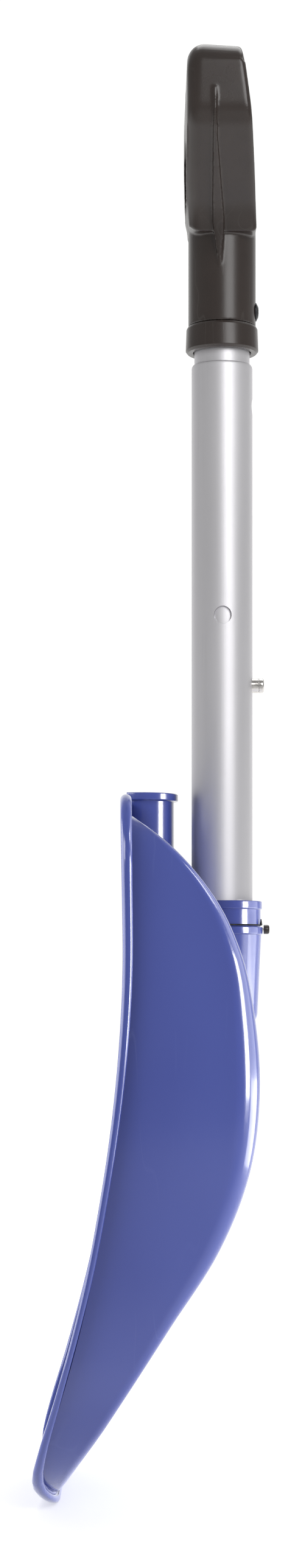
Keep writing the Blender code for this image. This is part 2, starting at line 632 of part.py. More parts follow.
def edge_round(edge):
    """How far one of the grip's long edges is rounded; the top's front edge is rounded most."""
    middle = (edge.verts[0].co + edge.verts[1].co) / 2
    rise = min(max((middle.z - GRIP_TOP + GRIP_CORNER) / GRIP_CORNER, 0.0), 1.0)
    low, high = (GRIP_ROUND, GRIP_TOP_ROUND) if middle.x < 0 else (GRIP_BACK_ROUND, GRIP_BACK_TOP_ROUND)
    return low + (high - low) * rise


def grip_body(cutters):
    """The D itself: half of its outline, mirrored, with rounded edges."""
    outline = filleted(above_foot(GRIP_OUTLINE)) + filleted(above_foot(GRIP_HOLE))
    shape = slab("grip_body", outline, -1.0, 1.0)
    for vert in shape.verts:
        y, z = vert.co.y, vert.co.z
        if vert.co.x < 0:
            vert.co = (grip_front(z), y, z)
        else:
            fall = GRIP_TOP_FALL if z > GRIP_TOP - GRIP_CORNER / 2 else 0.0
            vert.co = (grip_back(z), y, z - fall)
    middle = [face for face in shape.faces if all(abs(vert.co.y) < 1e-6 for vert in face.verts)]
    bmesh.ops.delete(shape, geom=middle, context="FACES_ONLY")
    rounding = shape.edges.layers.float.new("bevel_weight_edge")
    for edge in shape.edges:
        crosses = abs(edge.verts[0].co.x - edge.verts[1].co.x) > GRIP_ROUND
        if not crosses and not edge.is_boundary:
            edge[rounding] = edge_round(edge) / GRIP_TOP_ROUND
    body = add_object("grip_body", mesh_from_bmesh("grip_body", shape), cutters, location=DATUM)
    mirror = body.modifiers.new("Other half", "MIRROR")
    mirror.use_axis = (False, True, False)
    mirror.merge_threshold = 0.0001
    edges = body.modifiers.new("Rounded edges", "BEVEL")
    edges.limit_method = "WEIGHT"
    edges.width = GRIP_TOP_ROUND
    edges.segments = 3
    edges.use_clamp_overlap = False
    return body


rib_thickness = curve_through(RIB_THICKNESS)
rib_middle = curve_through(RIB_MIDDLE)


def rib_half(z):
    """Half the thickness of a rib: a point at its foot, full where it leaves the socket, thin above."""
    return rib_thickness(z - GRIP_BOTTOM) / 2


def grip_rib(side, cutters):
    """The gusset fin on the outside of one leg."""
    outline = spaced(filleted(above_foot(RIB_OUTLINE)))
    shape = slab("grip_rib", outline, -1.0, 1.0)
    for vert in shape.verts:
        z = vert.co.z
        vert.co.x = rib_middle(z - GRIP_BOTTOM) + math.copysign(rib_half(z), vert.co.x)
    name = "grip_rib_right" if side > 0 else "grip_rib_left"
    rib = add_object(name, mesh_from_bmesh(name, shape), cutters, location=DATUM)
    if side < 0:
        rib.data.transform(Matrix.Diagonal((1, -1, 1, 1)))
        rib.data.flip_normals()
    return rib


def build_grip(parts, cutters, handle, black, dark_steel):
    bore_r = UPPER_R + GAP
    grip = turned("d_grip", [(bore_r, SPIGOT_BOTTOM), (bore_r, UPPER_TOP + GAP), (0, UPPER_TOP + GAP),
                             (0, GRIP_SHOULDER), (SOCKET_OUTER_R, GRIP_SHOULDER),
                             (SOCKET_OUTER_R, SPIGOT_TOP), (SPIGOT_R, SPIGOT_TOP),
                             (SPIGOT_R, SPIGOT_BOTTOM)],
                  parts, closed=True, parent=handle)
    combine(grip, "UNION", grip_body(cutters))
    for side in (1, -1):
        combine(grip, "UNION", grip_rib(side, cutters))
    seat = SOCKET_OUTER_R - SCREW_SEAT_DEPTH
    combine(grip, "DIFFERENCE", rod("screw_seat", SCREW_HEAD_R + SCREW_SEAT_ROOM, (seat, 0, SCREW_Z),
                                    (HOLE_TO, 0, SCREW_Z), cutters, SMALL_SEGMENTS))
    combine(grip, "DIFFERENCE", cross_hole("grip_screw_hole", SCREW_HOLE_R, SCREW_Z, cutters))
    finish_part(grip, black)

    under = seat + GAP
    screw = turned("grip_screw", [(0, under + 0.0021), (0.0026, under + 0.0020),
                                  (SCREW_HEAD_R - 0.0007, under + 0.0014), (SCREW_HEAD_R, under + 0.0007),
                                  (SCREW_HEAD_R, under), (SCREW_R, under), (SCREW_R, SCREW_TAPER),
                                  (0, SCREW_POINT)],
                   parts, steps=SMALL_SEGMENTS, parent=handle, along_x=True, location=(0, 0, SCREW_Z))
    finish_part(screw, dark_steel)

    spigot_clear = SPIGOT_R + GAP
    collar = turned("grip_collar", [(spigot_clear, SPIGOT_TOP - GAP), (0.0178, SPIGOT_TOP - GAP),
                                    (0.0187, SPIGOT_TOP - 0.0016), (0.0191, COLLAR_FOOT + 0.0030),
                                    (0.0188, COLLAR_FOOT + FOOT_ROUND), (0.0178, COLLAR_FOOT),
                                    (0.0156, COLLAR_FOOT), (0.0149, COLLAR_FOOT + 0.0007),
                                    (0.0149, SPIGOT_BOTTOM - GAP), (spigot_clear, SPIGOT_BOTTOM - GAP)],
                    parts, closed=True, parent=handle)
    finish_part(collar, black)


def main():
    for obj in list(bpy.data.objects):
        bpy.data.objects.remove(obj)
    parts = new_collection("scoop_shovel")
    cutters = new_collection("cutters")

    blue = material("blade_blue", (0.070, 0.095, 0.300), 0.22)
    black = material("grip_black", (0.045, 0.040, 0.036), 0.45)
    alloy = material("tube_alloy", (0.62, 0.61, 0.62), 0.34, 1.0)
    steel = material("button_steel", (0.60, 0.58, 0.56), 0.20, 1.0)
    spring_steel = material("spring_steel", (0.33, 0.33, 0.35), 0.35, 1.0)
    dark_steel = material("dark_steel", (0.03, 0.03, 0.03), 0.40, 1.0)
    plug_plastic = material("plug_plastic", (0.06, 0.06, 0.06), 0.55)

    shaft = axis_empty("shaft_axis", DATUM, parts)
    handle = axis_empty("handle_axis", DATUM, parts)
    pin_axis = axis_empty("lock_pin_axis", (DATUM[0], 0, DATUM[2] + PIN_Z), parts)
    button_axis = axis_empty("snap_button_axis", (DATUM[0], 0, DATUM[2] + SNAP_Z), parts)

    build_blade(parts, cutters, blue)
    build_lock_pin(parts, pin_axis, steel, black, dark_steel)
    build_main_tube(parts, cutters, shaft, alloy, plug_plastic)
    build_upper_tube(parts, cutters, handle, alloy, plug_plastic)
    build_snap_button(parts, handle, button_axis, steel, spring_steel)
    build_grip(parts, cutters, handle, black, dark_steel)


main()
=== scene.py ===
"""Looks of the telescopic scoop shovel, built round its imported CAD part.

Metres, +Z up along the shaft; the scoop's hollow faces -X. Shapes are drawn from the foot of the
shaft's axis, which is worked out from the CAD main tube's box.
"""
import json
import math

import bmesh
import bpy
import numpy as np
from mathutils import Matrix, Vector

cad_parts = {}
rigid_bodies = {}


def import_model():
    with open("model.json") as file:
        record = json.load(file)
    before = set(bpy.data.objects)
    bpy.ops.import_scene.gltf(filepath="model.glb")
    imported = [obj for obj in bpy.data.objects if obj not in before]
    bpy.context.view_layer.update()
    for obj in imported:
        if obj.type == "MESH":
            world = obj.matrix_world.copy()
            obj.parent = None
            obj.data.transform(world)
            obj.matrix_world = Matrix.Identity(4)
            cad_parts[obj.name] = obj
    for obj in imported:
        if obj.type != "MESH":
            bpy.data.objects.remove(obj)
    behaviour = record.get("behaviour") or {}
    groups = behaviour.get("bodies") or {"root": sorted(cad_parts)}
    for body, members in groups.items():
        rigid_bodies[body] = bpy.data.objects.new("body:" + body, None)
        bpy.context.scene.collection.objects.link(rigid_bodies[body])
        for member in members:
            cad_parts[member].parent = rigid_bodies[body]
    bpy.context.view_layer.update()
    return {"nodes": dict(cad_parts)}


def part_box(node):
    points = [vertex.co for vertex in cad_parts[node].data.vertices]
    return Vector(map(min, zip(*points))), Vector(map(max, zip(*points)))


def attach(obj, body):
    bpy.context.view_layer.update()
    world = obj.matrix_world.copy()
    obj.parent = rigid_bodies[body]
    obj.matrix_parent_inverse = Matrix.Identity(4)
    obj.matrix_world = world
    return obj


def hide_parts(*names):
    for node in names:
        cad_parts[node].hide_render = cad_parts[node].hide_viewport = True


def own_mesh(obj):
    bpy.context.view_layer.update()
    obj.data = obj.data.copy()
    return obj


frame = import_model()
scene = bpy.context.scene

# ---- driving dimensions, from the foot of the shaft's axis ----
MAIN_BOTTOM, MAIN_TOP = 0.2483, 0.5895
tube_low, tube_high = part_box("main_tube")
DATUM = Vector(((tube_low.x + tube_high.x) / 2, 0.0, tube_low.z - MAIN_BOTTOM))
TUBE_WALL = 0.0012
MAIN_R = (tube_high.y - tube_low.y) / 2
MAIN_BORE_R = MAIN_R - TUBE_WALL
GAP = 0.0003  # between pieces that touch
ROUND_STEPS = 128  # round the tubes, sockets and collar
SMALL_STEPS = 64  # round the pins, holes and screw
SHARP_ANGLE = math.radians(38)
MERGE = 0.0001  # halves that meet are merged within this distance
WELD = 0.00001  # points on a turning axis or a wire's caps are joined within this

WALL = 0.0026
MOUTH_HALF_WIDTH = 0.105
MOUTH_BOTTOM, MOUTH_TOP = 0.0030, 0.3510
BOTTOM_CORNER, TOP_CORNER = 0.075, 0.028
WIDEST, NARROWING = 0.210, 2.2
DRAFT = 0.09  # the walls lean in by this share of their depth
BULGE = 1.35  # over 1 bows the walls outwards
CROWN = 0.0015  # how far the middle of the back stands out
END_STEPS, ARC_STEPS, SIDE_STEPS = 14, 12, 64
WALL_STEPS, CORNER_STEPS = 10, 10
BACK_COLUMNS = END_STEPS + ARC_STEPS // 2
END_MARGIN = 0.02  # nearer the mouth's ends than this, the walls get no shallower

RIM_ROUND = 0.0009  # the wall starts this far behind the rim's back face
RIM_INNER_ROUND = 0.0012
RIM_STEPS = 7
RIM_CREASE = 0.0002
TIP_FILLED = 0.042  # below this the channel behind the rim fills up

# by height: the X of the rim's front and of the back, the rim's width and depth, and the radius of
# the bend from the walls into the back
FRONT_EDGE = [(-0.002, -0.0895), (0.005, -0.0940), (0.012, -0.0968), (0.020, -0.0966), (0.030, -0.0942),
              (0.060, -0.0851), (0.092, -0.0763), (0.120, -0.0697), (0.150, -0.0640), (0.200, -0.0565),
              (0.265, -0.0516), (0.320, -0.0520), (0.358, -0.0528)]
BACK = [(-0.002, -0.0860), (0.006, -0.0830), (0.046, -0.0592), (0.095, -0.0280), (0.131, -0.0046),
        (0.167, 0.0103), (0.208, 0.0164), (0.249, 0.0138), (0.280, 0.0070), (0.3085, -0.0068),
        (0.332, -0.0266), (0.358, -0.0590)]
RIM_WIDTH = [(0.000, 0.0020), (0.040, 0.0032), (0.100, 0.0044), (0.315, 0.0044), (0.351, 0.0060)]
RIM_DEPTH = [(0.000, 0.0076), (0.030, 0.0048), (0.150, 0.0038), (0.260, 0.0050), (0.358, 0.0058)]
BACK_CORNER = [(0.000, 0.0050), (0.070, 0.0070), (0.150, 0.0120), (0.230, 0.0150), (0.270, 0.0105),
               (0.310, 0.0060), (0.358, 0.0040)]

UPPER_R = 0.0145
UPPER_BORE_R = UPPER_R - TUBE_WALL
UPPER_BOTTOM, UPPER_TOP = 0.3620, 0.6510
MAIN_ROLL, UPPER_ROLL = 0.0009, 0.0003  # how far each tube's top edge is rolled in
TUBE_CHAMFER = 0.0004  # at each tube's foot
EDGE_BREAK, EDGE_DEPTH = 0.0002, 0.0010  # the eased edge of a drilled hole
DRILL_REACH = 0.008

SOCKET_BORE_R = MAIN_R + GAP
SOCKET_FLOOR = 0.2457
SOCKET_TOP, COLLAR_BOTTOM = 0.3084, 0.3040
COLLAR_R, SOCKET_R, SOCKET_WAIST_R, SOCKET_FOOT_R = 0.0210, 0.0203, 0.0206, 0.0187
SOCKET_FOOT, FAIRING_BOTTOM = 0.2500, 0.2385
BOSS_R, BOSS_BOTTOM, BOSS_TOP = 0.0213, 0.2909, 0.2948
SADDLE_R, SADDLE_TOP = 0.0192, 0.3280
BORE_TOP = 0.3500
MOUTH_FLARE, MOUTH_DEPTH = 0.0010, 0.0005  # the eased mouths of the socket and the clip

CLIP_X = -0.0418
CLIP_BORE_R = UPPER_R + GAP
CLIP_R, CLIP_COLLAR_R = 0.0165, 0.0187
CLIP_BOTTOM, CLIP_COLLAR_BOTTOM, CLIP_TOP = 0.3100, 0.3606, 0.3645
CLIP_JAW_X = -0.0500

PIN_Z, PIN_R = 0.2936, 0.0014
HEAD_R, HEAD_BACK, HEAD_FRONT = 0.0024, 0.0219, 0.0249
STUD_BORE_R, STUD_BORE_END = 0.0012, 0.0238
RING_R, RING_WIRE_R, RING_Z = 0.0212, 0.0004, 0.2957
RING_OPENING = math.radians(20)
RING_POINTS = 97
SLOT_GAP = 0.0002  # round the wire, in the slot that it lies in
HOOK_R, HOOK_WIRE_R, HOOK_RISE = 0.0215, 0.0008, 0.0032

SNAP_Z, SNAP_UPPER_Z = 0.4217, 0.5680
SNAP_R, SNAP_HOLE_R, SNAP_TIP = 0.0038, 0.0042, 0.0219
SNAP_FLANGE_R, SNAP_FLANGE_BACK, SNAP_FLANGE_FRONT = 0.0050, 0.0109, 0.0119
SNAP_GROOVE, SNAP_GROOVE_DEPTH, SNAP_GROOVE_HALF = 0.0191, 0.0002, 0.0004
SPRING_HALF_WIDTH, SPRING_THICK = 0.0030, 0.0006
SPRING_BEND_R, SPRING_DROP, SPRING_LEFT = 0.0060, 0.0397, -0.0123
SPRING_LEFT_RISE, SPRING_RIGHT_RISE, SPRING_FALL = 0.012, 0.010, 0.009
SPRING_BEND = math.radians(170), math.radians(370)  # from the left leaf to the right one
SPRING_EDGE = 0.00012
SIDE_HOLE_Z, SIDE_HOLE_R = 0.4570, 0.0046

SOCKET_OUTER_R = 0.0177
GRIP_BORE_R = UPPER_R + GAP
SPIGOT_R, SPIGOT_BOTTOM, SPIGOT_TOP = 0.0164, 0.5980, 0.6100
SPIGOT_LAP, SPIGOT_CHAMFER = 0.0005, 0.0004
GRIP_BOTTOM, GRIP_TOP = 0.6530, 0.7425
GRIP_TOP_FALL = 0.0018  # the top's back edge is this much lower than its front edge
GRIP_FALL_BAND = 0.010  # how near the top a point is to count as on that edge
GRIP_FRONT, GRIP_BACK_FOOT = -0.0193, 0.0179
GRIP_TOP_ROUND = 0.0100  # rounding of the top's front edge
GRIP_ROUND, GRIP_BACK_ROUND, GRIP_BACK_TOP_ROUND = 0.0065, 0.0030, 0.0012
GRIP_CORNER = 0.013
GRIP_LEAN, GRIP_CURVE = 0.045, 0.70  # how the back face leans and curves forward
GRIP_RUN_IN = 0.024  # the front face meets the socket over this height
GRIP_SEAM = 0.010  # the socket reaches this far up into the grip
VOXEL = 0.0006
# half outlines as (Y, height above the grip's foot, radius of the corner)
GRIP_OUTLINE = [(0, 0.0025), (0.0192, 0.0025), (0.0217, 0.0110, 0.030), (0.0600, 0.0510, 0.020),
                (0.0610, GRIP_TOP - GRIP_BOTTOM, GRIP_CORNER), (0, GRIP_TOP - GRIP_BOTTOM)]
GRIP_HOLE = [(0, 0.0630), (0.0450, 0.0630, 0.008), (0.0450, 0.0485, 0.012), (0.0160, 0.0215, 0.012),
             (0, 0.0195)]
RIB_OUTLINE = [(0.0160, -0.0180), (0.0174, -0.0165, 0.0005), (0.0236, 0.0085, 0.030),
               (0.0616, 0.0500, 0.020), (0.0609, 0.0655, 0.0005), (0.0540, 0.0530, 0.001),
               (0.0160, 0.0080)]
# height above the grip's foot, then the rib's thickness and the X of its middle
RIB_THICKNESS = [(-0.018, 0.0008), (-0.008, 0.0026), (0.004, 0.0056), (0.014, 0.0052), (0.034, 0.0028),
                 (0.052, 0.0014), (0.075, 0.0014)]
RIB_MIDDLE = [(-0.018, -0.0016), (0.010, -0.0026), (0.040, -0.0048), (0.075, -0.0054)]
SCREW_Z, SCREW_HEAD_R, SCREW_HOLE_R, SCREW_SHANK_R = 0.6180, 0.0048, 0.0020, 0.0017
SCREW_POINT, SCREW_TIP = 0.0125, 0.0108
SCREW_SEAT = SOCKET_OUTER_R - 0.0008
SEAT_GAP, SEAT_END, SCREW_WAY_IN = 0.0004, 0.024, 0.010
RECESS_FLOOR, RECESS_HALF_WIDTH, RECESS_REACH = 0.0009, 0.0004, 0.0024
COLLAR_FOOT = 0.5962
COLLAR_TOP_R, COLLAR_NECK_R, COLLAR_FLARE_R, COLLAR_BORE_R = 0.0180, 0.0187, 0.0191, 0.0149
COLLAR_SLOPE = 0.0013  # how far below the top its slope ends

# the photo's camera: its place from the shaft's axis, its lens and its upward shift
CAMERA_LEFT, CAMERA_DISTANCE, CAMERA_HEIGHT = 0.0402, 1.440, 0.2655
CAMERA_LENS, CAMERA_SHIFT = 62.89, 0.1293


# ---- materials ----
class Nodes:
    """A short way to build and link shader nodes in one material."""

    def __init__(self, name):
        self.material = bpy.data.materials.new(name)
        self.material.use_nodes = True
        self.tree = self.material.node_tree
        self.shader = self.tree.nodes["Principled BSDF"]
        self.place = self.add("ShaderNodeTexCoord").outputs["Object"]

    def add(self, kind, **settings):
        """A new node, with its settings."""
        node = self.tree.nodes.new(kind)
        for key, value in settings.items():
            setattr(node, key, value)
        return node

    def link(self, source, target):
        self.tree.links.new(source, target)

    def stretched(self, scale):
        """Object coordinates, scaled along each axis."""
        mapping = self.add("ShaderNodeMapping")
        mapping.inputs["Scale"].default_value = scale
        self.link(self.place, mapping.inputs["Vector"])
        return mapping.outputs["Vector"]

    def noise(self, scale, detail=3.0, stretch=(1, 1, 1)):
        """Noise over the object's own coordinates; a stretch under 1 draws it out along that axis."""
        noise = self.add("ShaderNodeTexNoise")
        noise.inputs["Scale"].default_value = scale
        noise.inputs["Detail"].default_value = detail
        self.link(self.stretched(stretch), noise.inputs["Vector"])
        return noise.outputs["Fac"]

    def ranged(self, value, low, high, start=0.3, end=0.7):
        """value, taken from start..end to low..high."""
        ranged = self.add("ShaderNodeMapRange")
        for name, number in (("From Min", start), ("From Max", end), ("To Min", low), ("To Max", high)):
            ranged.inputs[name].default_value = number
        self.link(value, ranged.inputs["Value"])
        return ranged.outputs["Result"]

    def mixed(self, share, first, second):
        """Two colours mixed by share."""
        mix = self.add("ShaderNodeMix", data_type="RGBA")
        self.link(share, mix.inputs["Factor"])
        for socket, colour in ((mix.inputs[6], first), (mix.inputs[7], second)):
            if isinstance(colour, tuple):
                socket.default_value = (*colour, 1.0)
            else:
                self.link(colour, socket)
        return mix.outputs[2]

    def bump(self, heights):
        """Chain of bumps from (height socket, depth in metres, strength)."""
        normal = None
        for height, depth, strength in heights:
            bump = self.add("ShaderNodeBump")
            bump.inputs["Strength"].default_value = strength
            bump.inputs["Distance"].default_value = depth
            self.link(height, bump.inputs["Height"])
            if normal is not None:
                self.link(normal, bump.inputs["Normal"])
            normal = bump.outputs["Normal"]
        self.link(normal, self.shader.inputs["Normal"])

    def set(self, **values):
        """Set the shader's inputs, named with _ for a space, to numbers or to other nodes' outputs."""
        for name, value in values.items():
            socket = self.shader.inputs[name.replace("_", " ")]
            if isinstance(value, (int, float)):
                socket.default_value = value
            else:
                self.link(value, socket)


def scratches(nodes, scale, stretch, width):
    """Thin lines where a stretched noise crosses its middle value: 1 on a line, 0 away from it."""
    noise = nodes.noise(scale, detail=1.0, stretch=stretch)
    away = nodes.add("ShaderNodeMath", operation="SUBTRACT")
    away.inputs[1].default_value = 0.5
    nodes.link(noise, away.inputs[0])
    size = nodes.add("ShaderNodeMath", operation="ABSOLUTE")
    nodes.link(away.outputs[0], size.inputs[0])
    return nodes.ranged(size.outputs[0], 1.0, 0.0, start=0.0, end=width)


def product(nodes, first, second):
    """Two values multiplied."""
    multiply = nodes.add("ShaderNodeMath", operation="MULTIPLY")
    nodes.link(first, multiply.inputs[0])
    nodes.link(second, multiply.inputs[1])
    return multiply.outputs[0]


def worn(nodes, lines, patch_scale, start, end):
    """Lines that show just in patches, where a wider noise passes from start to end."""
    return product(nodes, lines, nodes.ranged(nodes.noise(patch_scale), 0.0, 1.0, start, end))


def blue_plastic():
    """Glossy moulded plastic: faint flow marks, an orange-peel skin and fine handling scratches."""
    nodes = Nodes("blue_plastic")
    flow = nodes.noise(14, detail=2.0, stretch=(1, 1, 0.35))
    colour = nodes.mixed(nodes.ranged(flow, 0.0, 1.0), (0.034, 0.049, 0.220), (0.045, 0.064, 0.256))
    marks = worn(nodes, scratches(nodes, 60, (1, 1, 0.12), 0.012), 9, 0.45, 0.70)
    colour = nodes.mixed(nodes.ranged(marks, 0.0, 0.10, 0.0, 1.0), colour, (0.30, 0.34, 0.60))
    nodes.set(Base_Color=colour)
    skin = nodes.noise(420, detail=2.0)
    nodes.set(Roughness=nodes.ranged(nodes.noise(35, detail=4.0), 0.16, 0.22), Coat_Weight=0.50,
              Coat_Roughness=0.07, IOR=1.49)
    nodes.bump([(skin, 0.00006, 0.35), (marks, 0.00003, 0.4)])
    return nodes.material


def black_plastic():
    """Satin plastic from a lightly spark-eroded mould, a little polished where a hand rubs it."""
    nodes = Nodes("black_plastic")
    tone = nodes.noise(40, detail=3.0)
    colour = nodes.mixed(nodes.ranged(tone, 0.0, 1.0), (0.0215, 0.0140, 0.0115), (0.0320, 0.0220, 0.0185))
    marks = worn(nodes, scratches(nodes, 90, (1, 1, 0.3), 0.014), 14, 0.45, 0.70)
    colour = nodes.mixed(nodes.ranged(marks, 0.0, 0.14, 0.0, 1.0), colour, (0.14, 0.13, 0.12))
    nodes.set(Base_Color=colour)
    grain = nodes.noise(2600, detail=2.0)
    nodes.set(Roughness=nodes.ranged(nodes.noise(25, detail=5.0), 0.26, 0.34), IOR=1.56)
    nodes.bump([(grain, 0.00006, 0.40), (marks, 0.00004, 0.4)])
    return nodes.material


def satin_tube():
    """Drawn aluminium: fine lines along the tube, a cloudy oxide skin and a few slide marks."""
    nodes = Nodes("satin_tube")
    cloud = nodes.noise(22, detail=4.0, stretch=(1, 1, 0.4))
    colour = nodes.mixed(nodes.ranged(cloud, 0.0, 1.0), (0.67, 0.66, 0.685), (0.72, 0.71, 0.735))
    rubs = worn(nodes, scratches(nodes, 160, (1, 1, 0.02), 0.02), 8, 0.50, 0.72)
    colour = nodes.mixed(nodes.ranged(rubs, 0.0, 0.25, 0.0, 1.0), colour, (0.52, 0.52, 0.53))
    nodes.set(Base_Color=colour)
    lines = nodes.noise(5200, detail=2.0, stretch=(1, 1, 0.004))
    polish = nodes.noise(60, detail=4.0, stretch=(1, 1, 0.1))
    nodes.set(Metallic=0.78, Roughness=nodes.ranged(polish, 0.43, 0.52))
    nodes.bump([(lines, 0.00002, 0.45), (rubs, 0.00002, 0.5)])
    return nodes.material


def turned_steel(name, light, dark, low, high):
    """Machined or rolled steel: fine marks all round, stains and uneven polish."""
    nodes = Nodes(name)
    stain = nodes.noise(300, detail=4.0)
    nodes.set(Base_Color=nodes.mixed(nodes.ranged(stain, 0.0, 1.0), dark, light))
    marks = nodes.noise(4000, detail=1.0, stretch=(1, 0.05, 0.05))
    nodes.set(Metallic=1.0, Roughness=nodes.ranged(nodes.noise(500), low, high))
    nodes.bump([(marks, 0.00001, 0.35)])
    return nodes.material


def dull_plastic():
    """Plain moulded plastic of the end plugs, hazy and slightly uneven."""
    nodes = Nodes("plug_plastic")
    tone = nodes.noise(120, detail=3.0)
    colour = nodes.mixed(nodes.ranged(tone, 0.0, 1.0), (0.045, 0.045, 0.046), (0.070, 0.070, 0.072))
    nodes.set(Base_Color=colour)
    nodes.set(Roughness=nodes.ranged(nodes.noise(70, detail=4.0), 0.48, 0.62))
    nodes.bump([(nodes.noise(1800, detail=2.0), 0.00005, 0.4)])
    return nodes.material


BLUE, BLACK, TUBE = blue_plastic(), black_plastic(), satin_tube()
STEEL = turned_steel("bright_steel", (0.66, 0.64, 0.62), (0.50, 0.48, 0.46), 0.10, 0.20)
SPRING_STEEL = turned_steel("spring_strip", (0.36, 0.36, 0.38), (0.26, 0.26, 0.28), 0.28, 0.40)
DARK_STEEL = turned_steel("black_oxide", (0.060, 0.060, 0.064), (0.030, 0.030, 0.032), 0.30, 0.45)
PLUG = dull_plastic()


# ---- shape helpers ----
def curve_through(points):
    """A smooth function through (place, value) points."""
    places, values = np.array(points).T
    slopes = np.gradient(values, places)

    def value_at(place):
        """The curve's value at one place, held beyond its ends."""
        i = int(np.clip(np.searchsorted(places, place) - 1, 0, len(places) - 2))
        step = places[i + 1] - places[i]
        s = np.clip((place - places[i]) / step, 0.0, 1.0)
        return float(values[i] * (1 + 2 * s) * (1 - s) ** 2 + slopes[i] * step * s * (1 - s) ** 2
                     + values[i + 1] * s * s * (3 - 2 * s) - slopes[i + 1] * step * s * s * (1 - s))
    return value_at


def new_object(name, mesh, place=DATUM):
    """A new object in the scene, drawn from the foot of the shaft's axis unless it says where."""
    obj = bpy.data.objects.new(name, mesh)
    scene.collection.objects.link(obj)
    obj.location = place
    return obj


def mesh_from_bmesh(name, shape):
    """A mesh made from shape, which is then done with."""
    mesh = bpy.data.meshes.new(name)
    shape.to_mesh(mesh)
    shape.free()
    return mesh


def settled(obj):
    """Apply an object's modifiers and place to its mesh, so that its vertices are in the shared frame."""
    bpy.context.view_layer.update()
    evaluated = obj.evaluated_get(bpy.context.evaluated_depsgraph_get())
    mesh = bpy.data.meshes.new_from_object(evaluated)
    mesh.transform(obj.matrix_world)
    name = obj.name
    bpy.data.objects.remove(obj)
    mesh.shade_smooth()
    mesh.set_sharp_from_angle(angle=SHARP_ANGLE)
    return new_object(name, mesh, (0, 0, 0))


def dress(obj, mat, body, slot_name, *nodes):
    """Give a settled piece its finish and say what it rides on and stands for."""
    obj.data.materials.clear()
    obj.data.materials.append(mat)
    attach(obj, body)
    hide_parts(*nodes)


def combine(obj, operation, other):
    """Add a Boolean of obj with another piece, which has to stay until obj is settled."""
    boolean = obj.modifiers.new(operation.title(), "BOOLEAN")
    boolean.operation = operation
    boolean.solver = "EXACT"
    boolean.object = other


def mirror_half(obj):
    """Add the other half of a piece that is drawn open at Y = 0."""
    mirror = obj.modifiers.new("Other half", "MIRROR")
    mirror.use_axis = (False, True, False)
    mirror.merge_threshold = MERGE


def cut(obj, *cutters):
    """Cut shapes away from obj and settle it."""
    for cutter in cutters:
        combine(obj, "DIFFERENCE", cutter)
    result = settled(obj)
    for cutter in cutters:
        bpy.data.objects.remove(cutter)
    return result


def filleted(corners, steps=6):
    """Points of an open outline; a corner given as (a, b, radius) is rounded, as (a, b) left sharp."""
    places = [Vector(corner[:2]) for corner in corners]
    points = [places[0]]
    for before, here, after, corner in zip(places, places[1:], places[2:], corners[1:]):
        if len(corner) == 2:
            points.append(here)
            continue
        back, ahead = (before - here).normalized(), (after - here).normalized()
        half_angle = back.angle(ahead) / 2
        reach = corner[2] / math.tan(half_angle)
        centre = here + (back + ahead).normalized() * corner[2] / math.sin(half_angle)
        first, last = here + back * reach - centre, here + ahead * reach - centre
        sweep = first.angle_signed(last)
        for i in range(steps + 1):
            turn = Matrix.Rotation(-sweep * i / steps, 2)
            points.append(centre + turn @ first)
    points.append(places[-1])
    return [(point.x, point.y) for point in points]


def turned(name, profile, closed=False, steps=ROUND_STEPS, place=DATUM, along_x=False):
    """Turn a profile of (radius, height) points about Z, or about X when along_x."""
    count = len(profile)
    edges = [(i, i + 1) for i in range(count - 1)]
    if closed:
        edges.append((count - 1, 0))
    mesh = bpy.data.meshes.new(name)
    mesh.from_pydata([(radius, 0, height) for radius, height in profile], edges, [])
    obj = new_object(name, mesh, place)
    if along_x:
        obj.rotation_euler = (0, math.pi / 2, 0)
    screw = obj.modifiers.new("Turn", "SCREW")
    screw.angle = math.tau
    screw.steps = screw.render_steps = steps
    screw.use_merge_vertices = True
    screw.merge_threshold = WELD
    return obj


def turned_across(name, profile, z):
    """Turn a profile of (radius, X) points about the line along X at height z."""
    return turned(name, profile, steps=SMALL_STEPS, place=DATUM + Vector((0, 0, z)), along_x=True)


def rod(name, radius, start, end, steps=ROUND_STEPS, end_radius=None):
    """A cylinder or cone between two points."""
    start, end = Vector(start), Vector(end)
    shape = bmesh.new()
    bmesh.ops.create_cone(shape, cap_ends=True, segments=steps, depth=(end - start).length,
                          radius1=radius, radius2=radius if end_radius is None else end_radius)
    turn = Vector((0, 0, 1)).rotation_difference(end - start).to_matrix().to_4x4()
    bmesh.ops.transform(shape, matrix=Matrix.Translation((start + end) / 2) @ turn, verts=shape.verts)
    return new_object(name, mesh_from_bmesh(name, shape))


def block(name, low, high):
    """A box between two opposite corners."""
    low, high = Vector(low), Vector(high)
    shape = bmesh.new()
    bmesh.ops.create_cube(shape, size=1.0)
    size = Matrix.Diagonal((*(high - low), 1.0))
    bmesh.ops.transform(shape, matrix=Matrix.Translation((low + high) / 2) @ size, verts=shape.verts)
    return new_object(name, mesh_from_bmesh(name, shape))


def slab(outline, low_x, high_x):
    """An outline of (y, z) points as a slab from low_x to high_x."""
    shape = bmesh.new()
    front = shape.faces.new([shape.verts.new((low_x, y, z)) for y, z in outline])
    grown = bmesh.ops.extrude_face_region(shape, geom=[front])["geom"]
    bmesh.ops.translate(shape, vec=(high_x - low_x, 0, 0),
                        verts=[item for item in grown if isinstance(item, bmesh.types.BMVert)])
    bmesh.ops.recalc_face_normals(shape, faces=shape.faces)
    return shape


# ---- scoop ----
front_edge = curve_through(FRONT_EDGE)
back_line = curve_through(BACK)
rim_width = curve_through(RIM_WIDTH)
rim_depth = curve_through(RIM_DEPTH)
back_corner = curve_through(BACK_CORNER)


def pan_depth(z):
    """Distance from the rim's back face to the outside of the scoop's back, at one height."""
    return max(back_line(z) - front_edge(z) - WALL, 0.0)


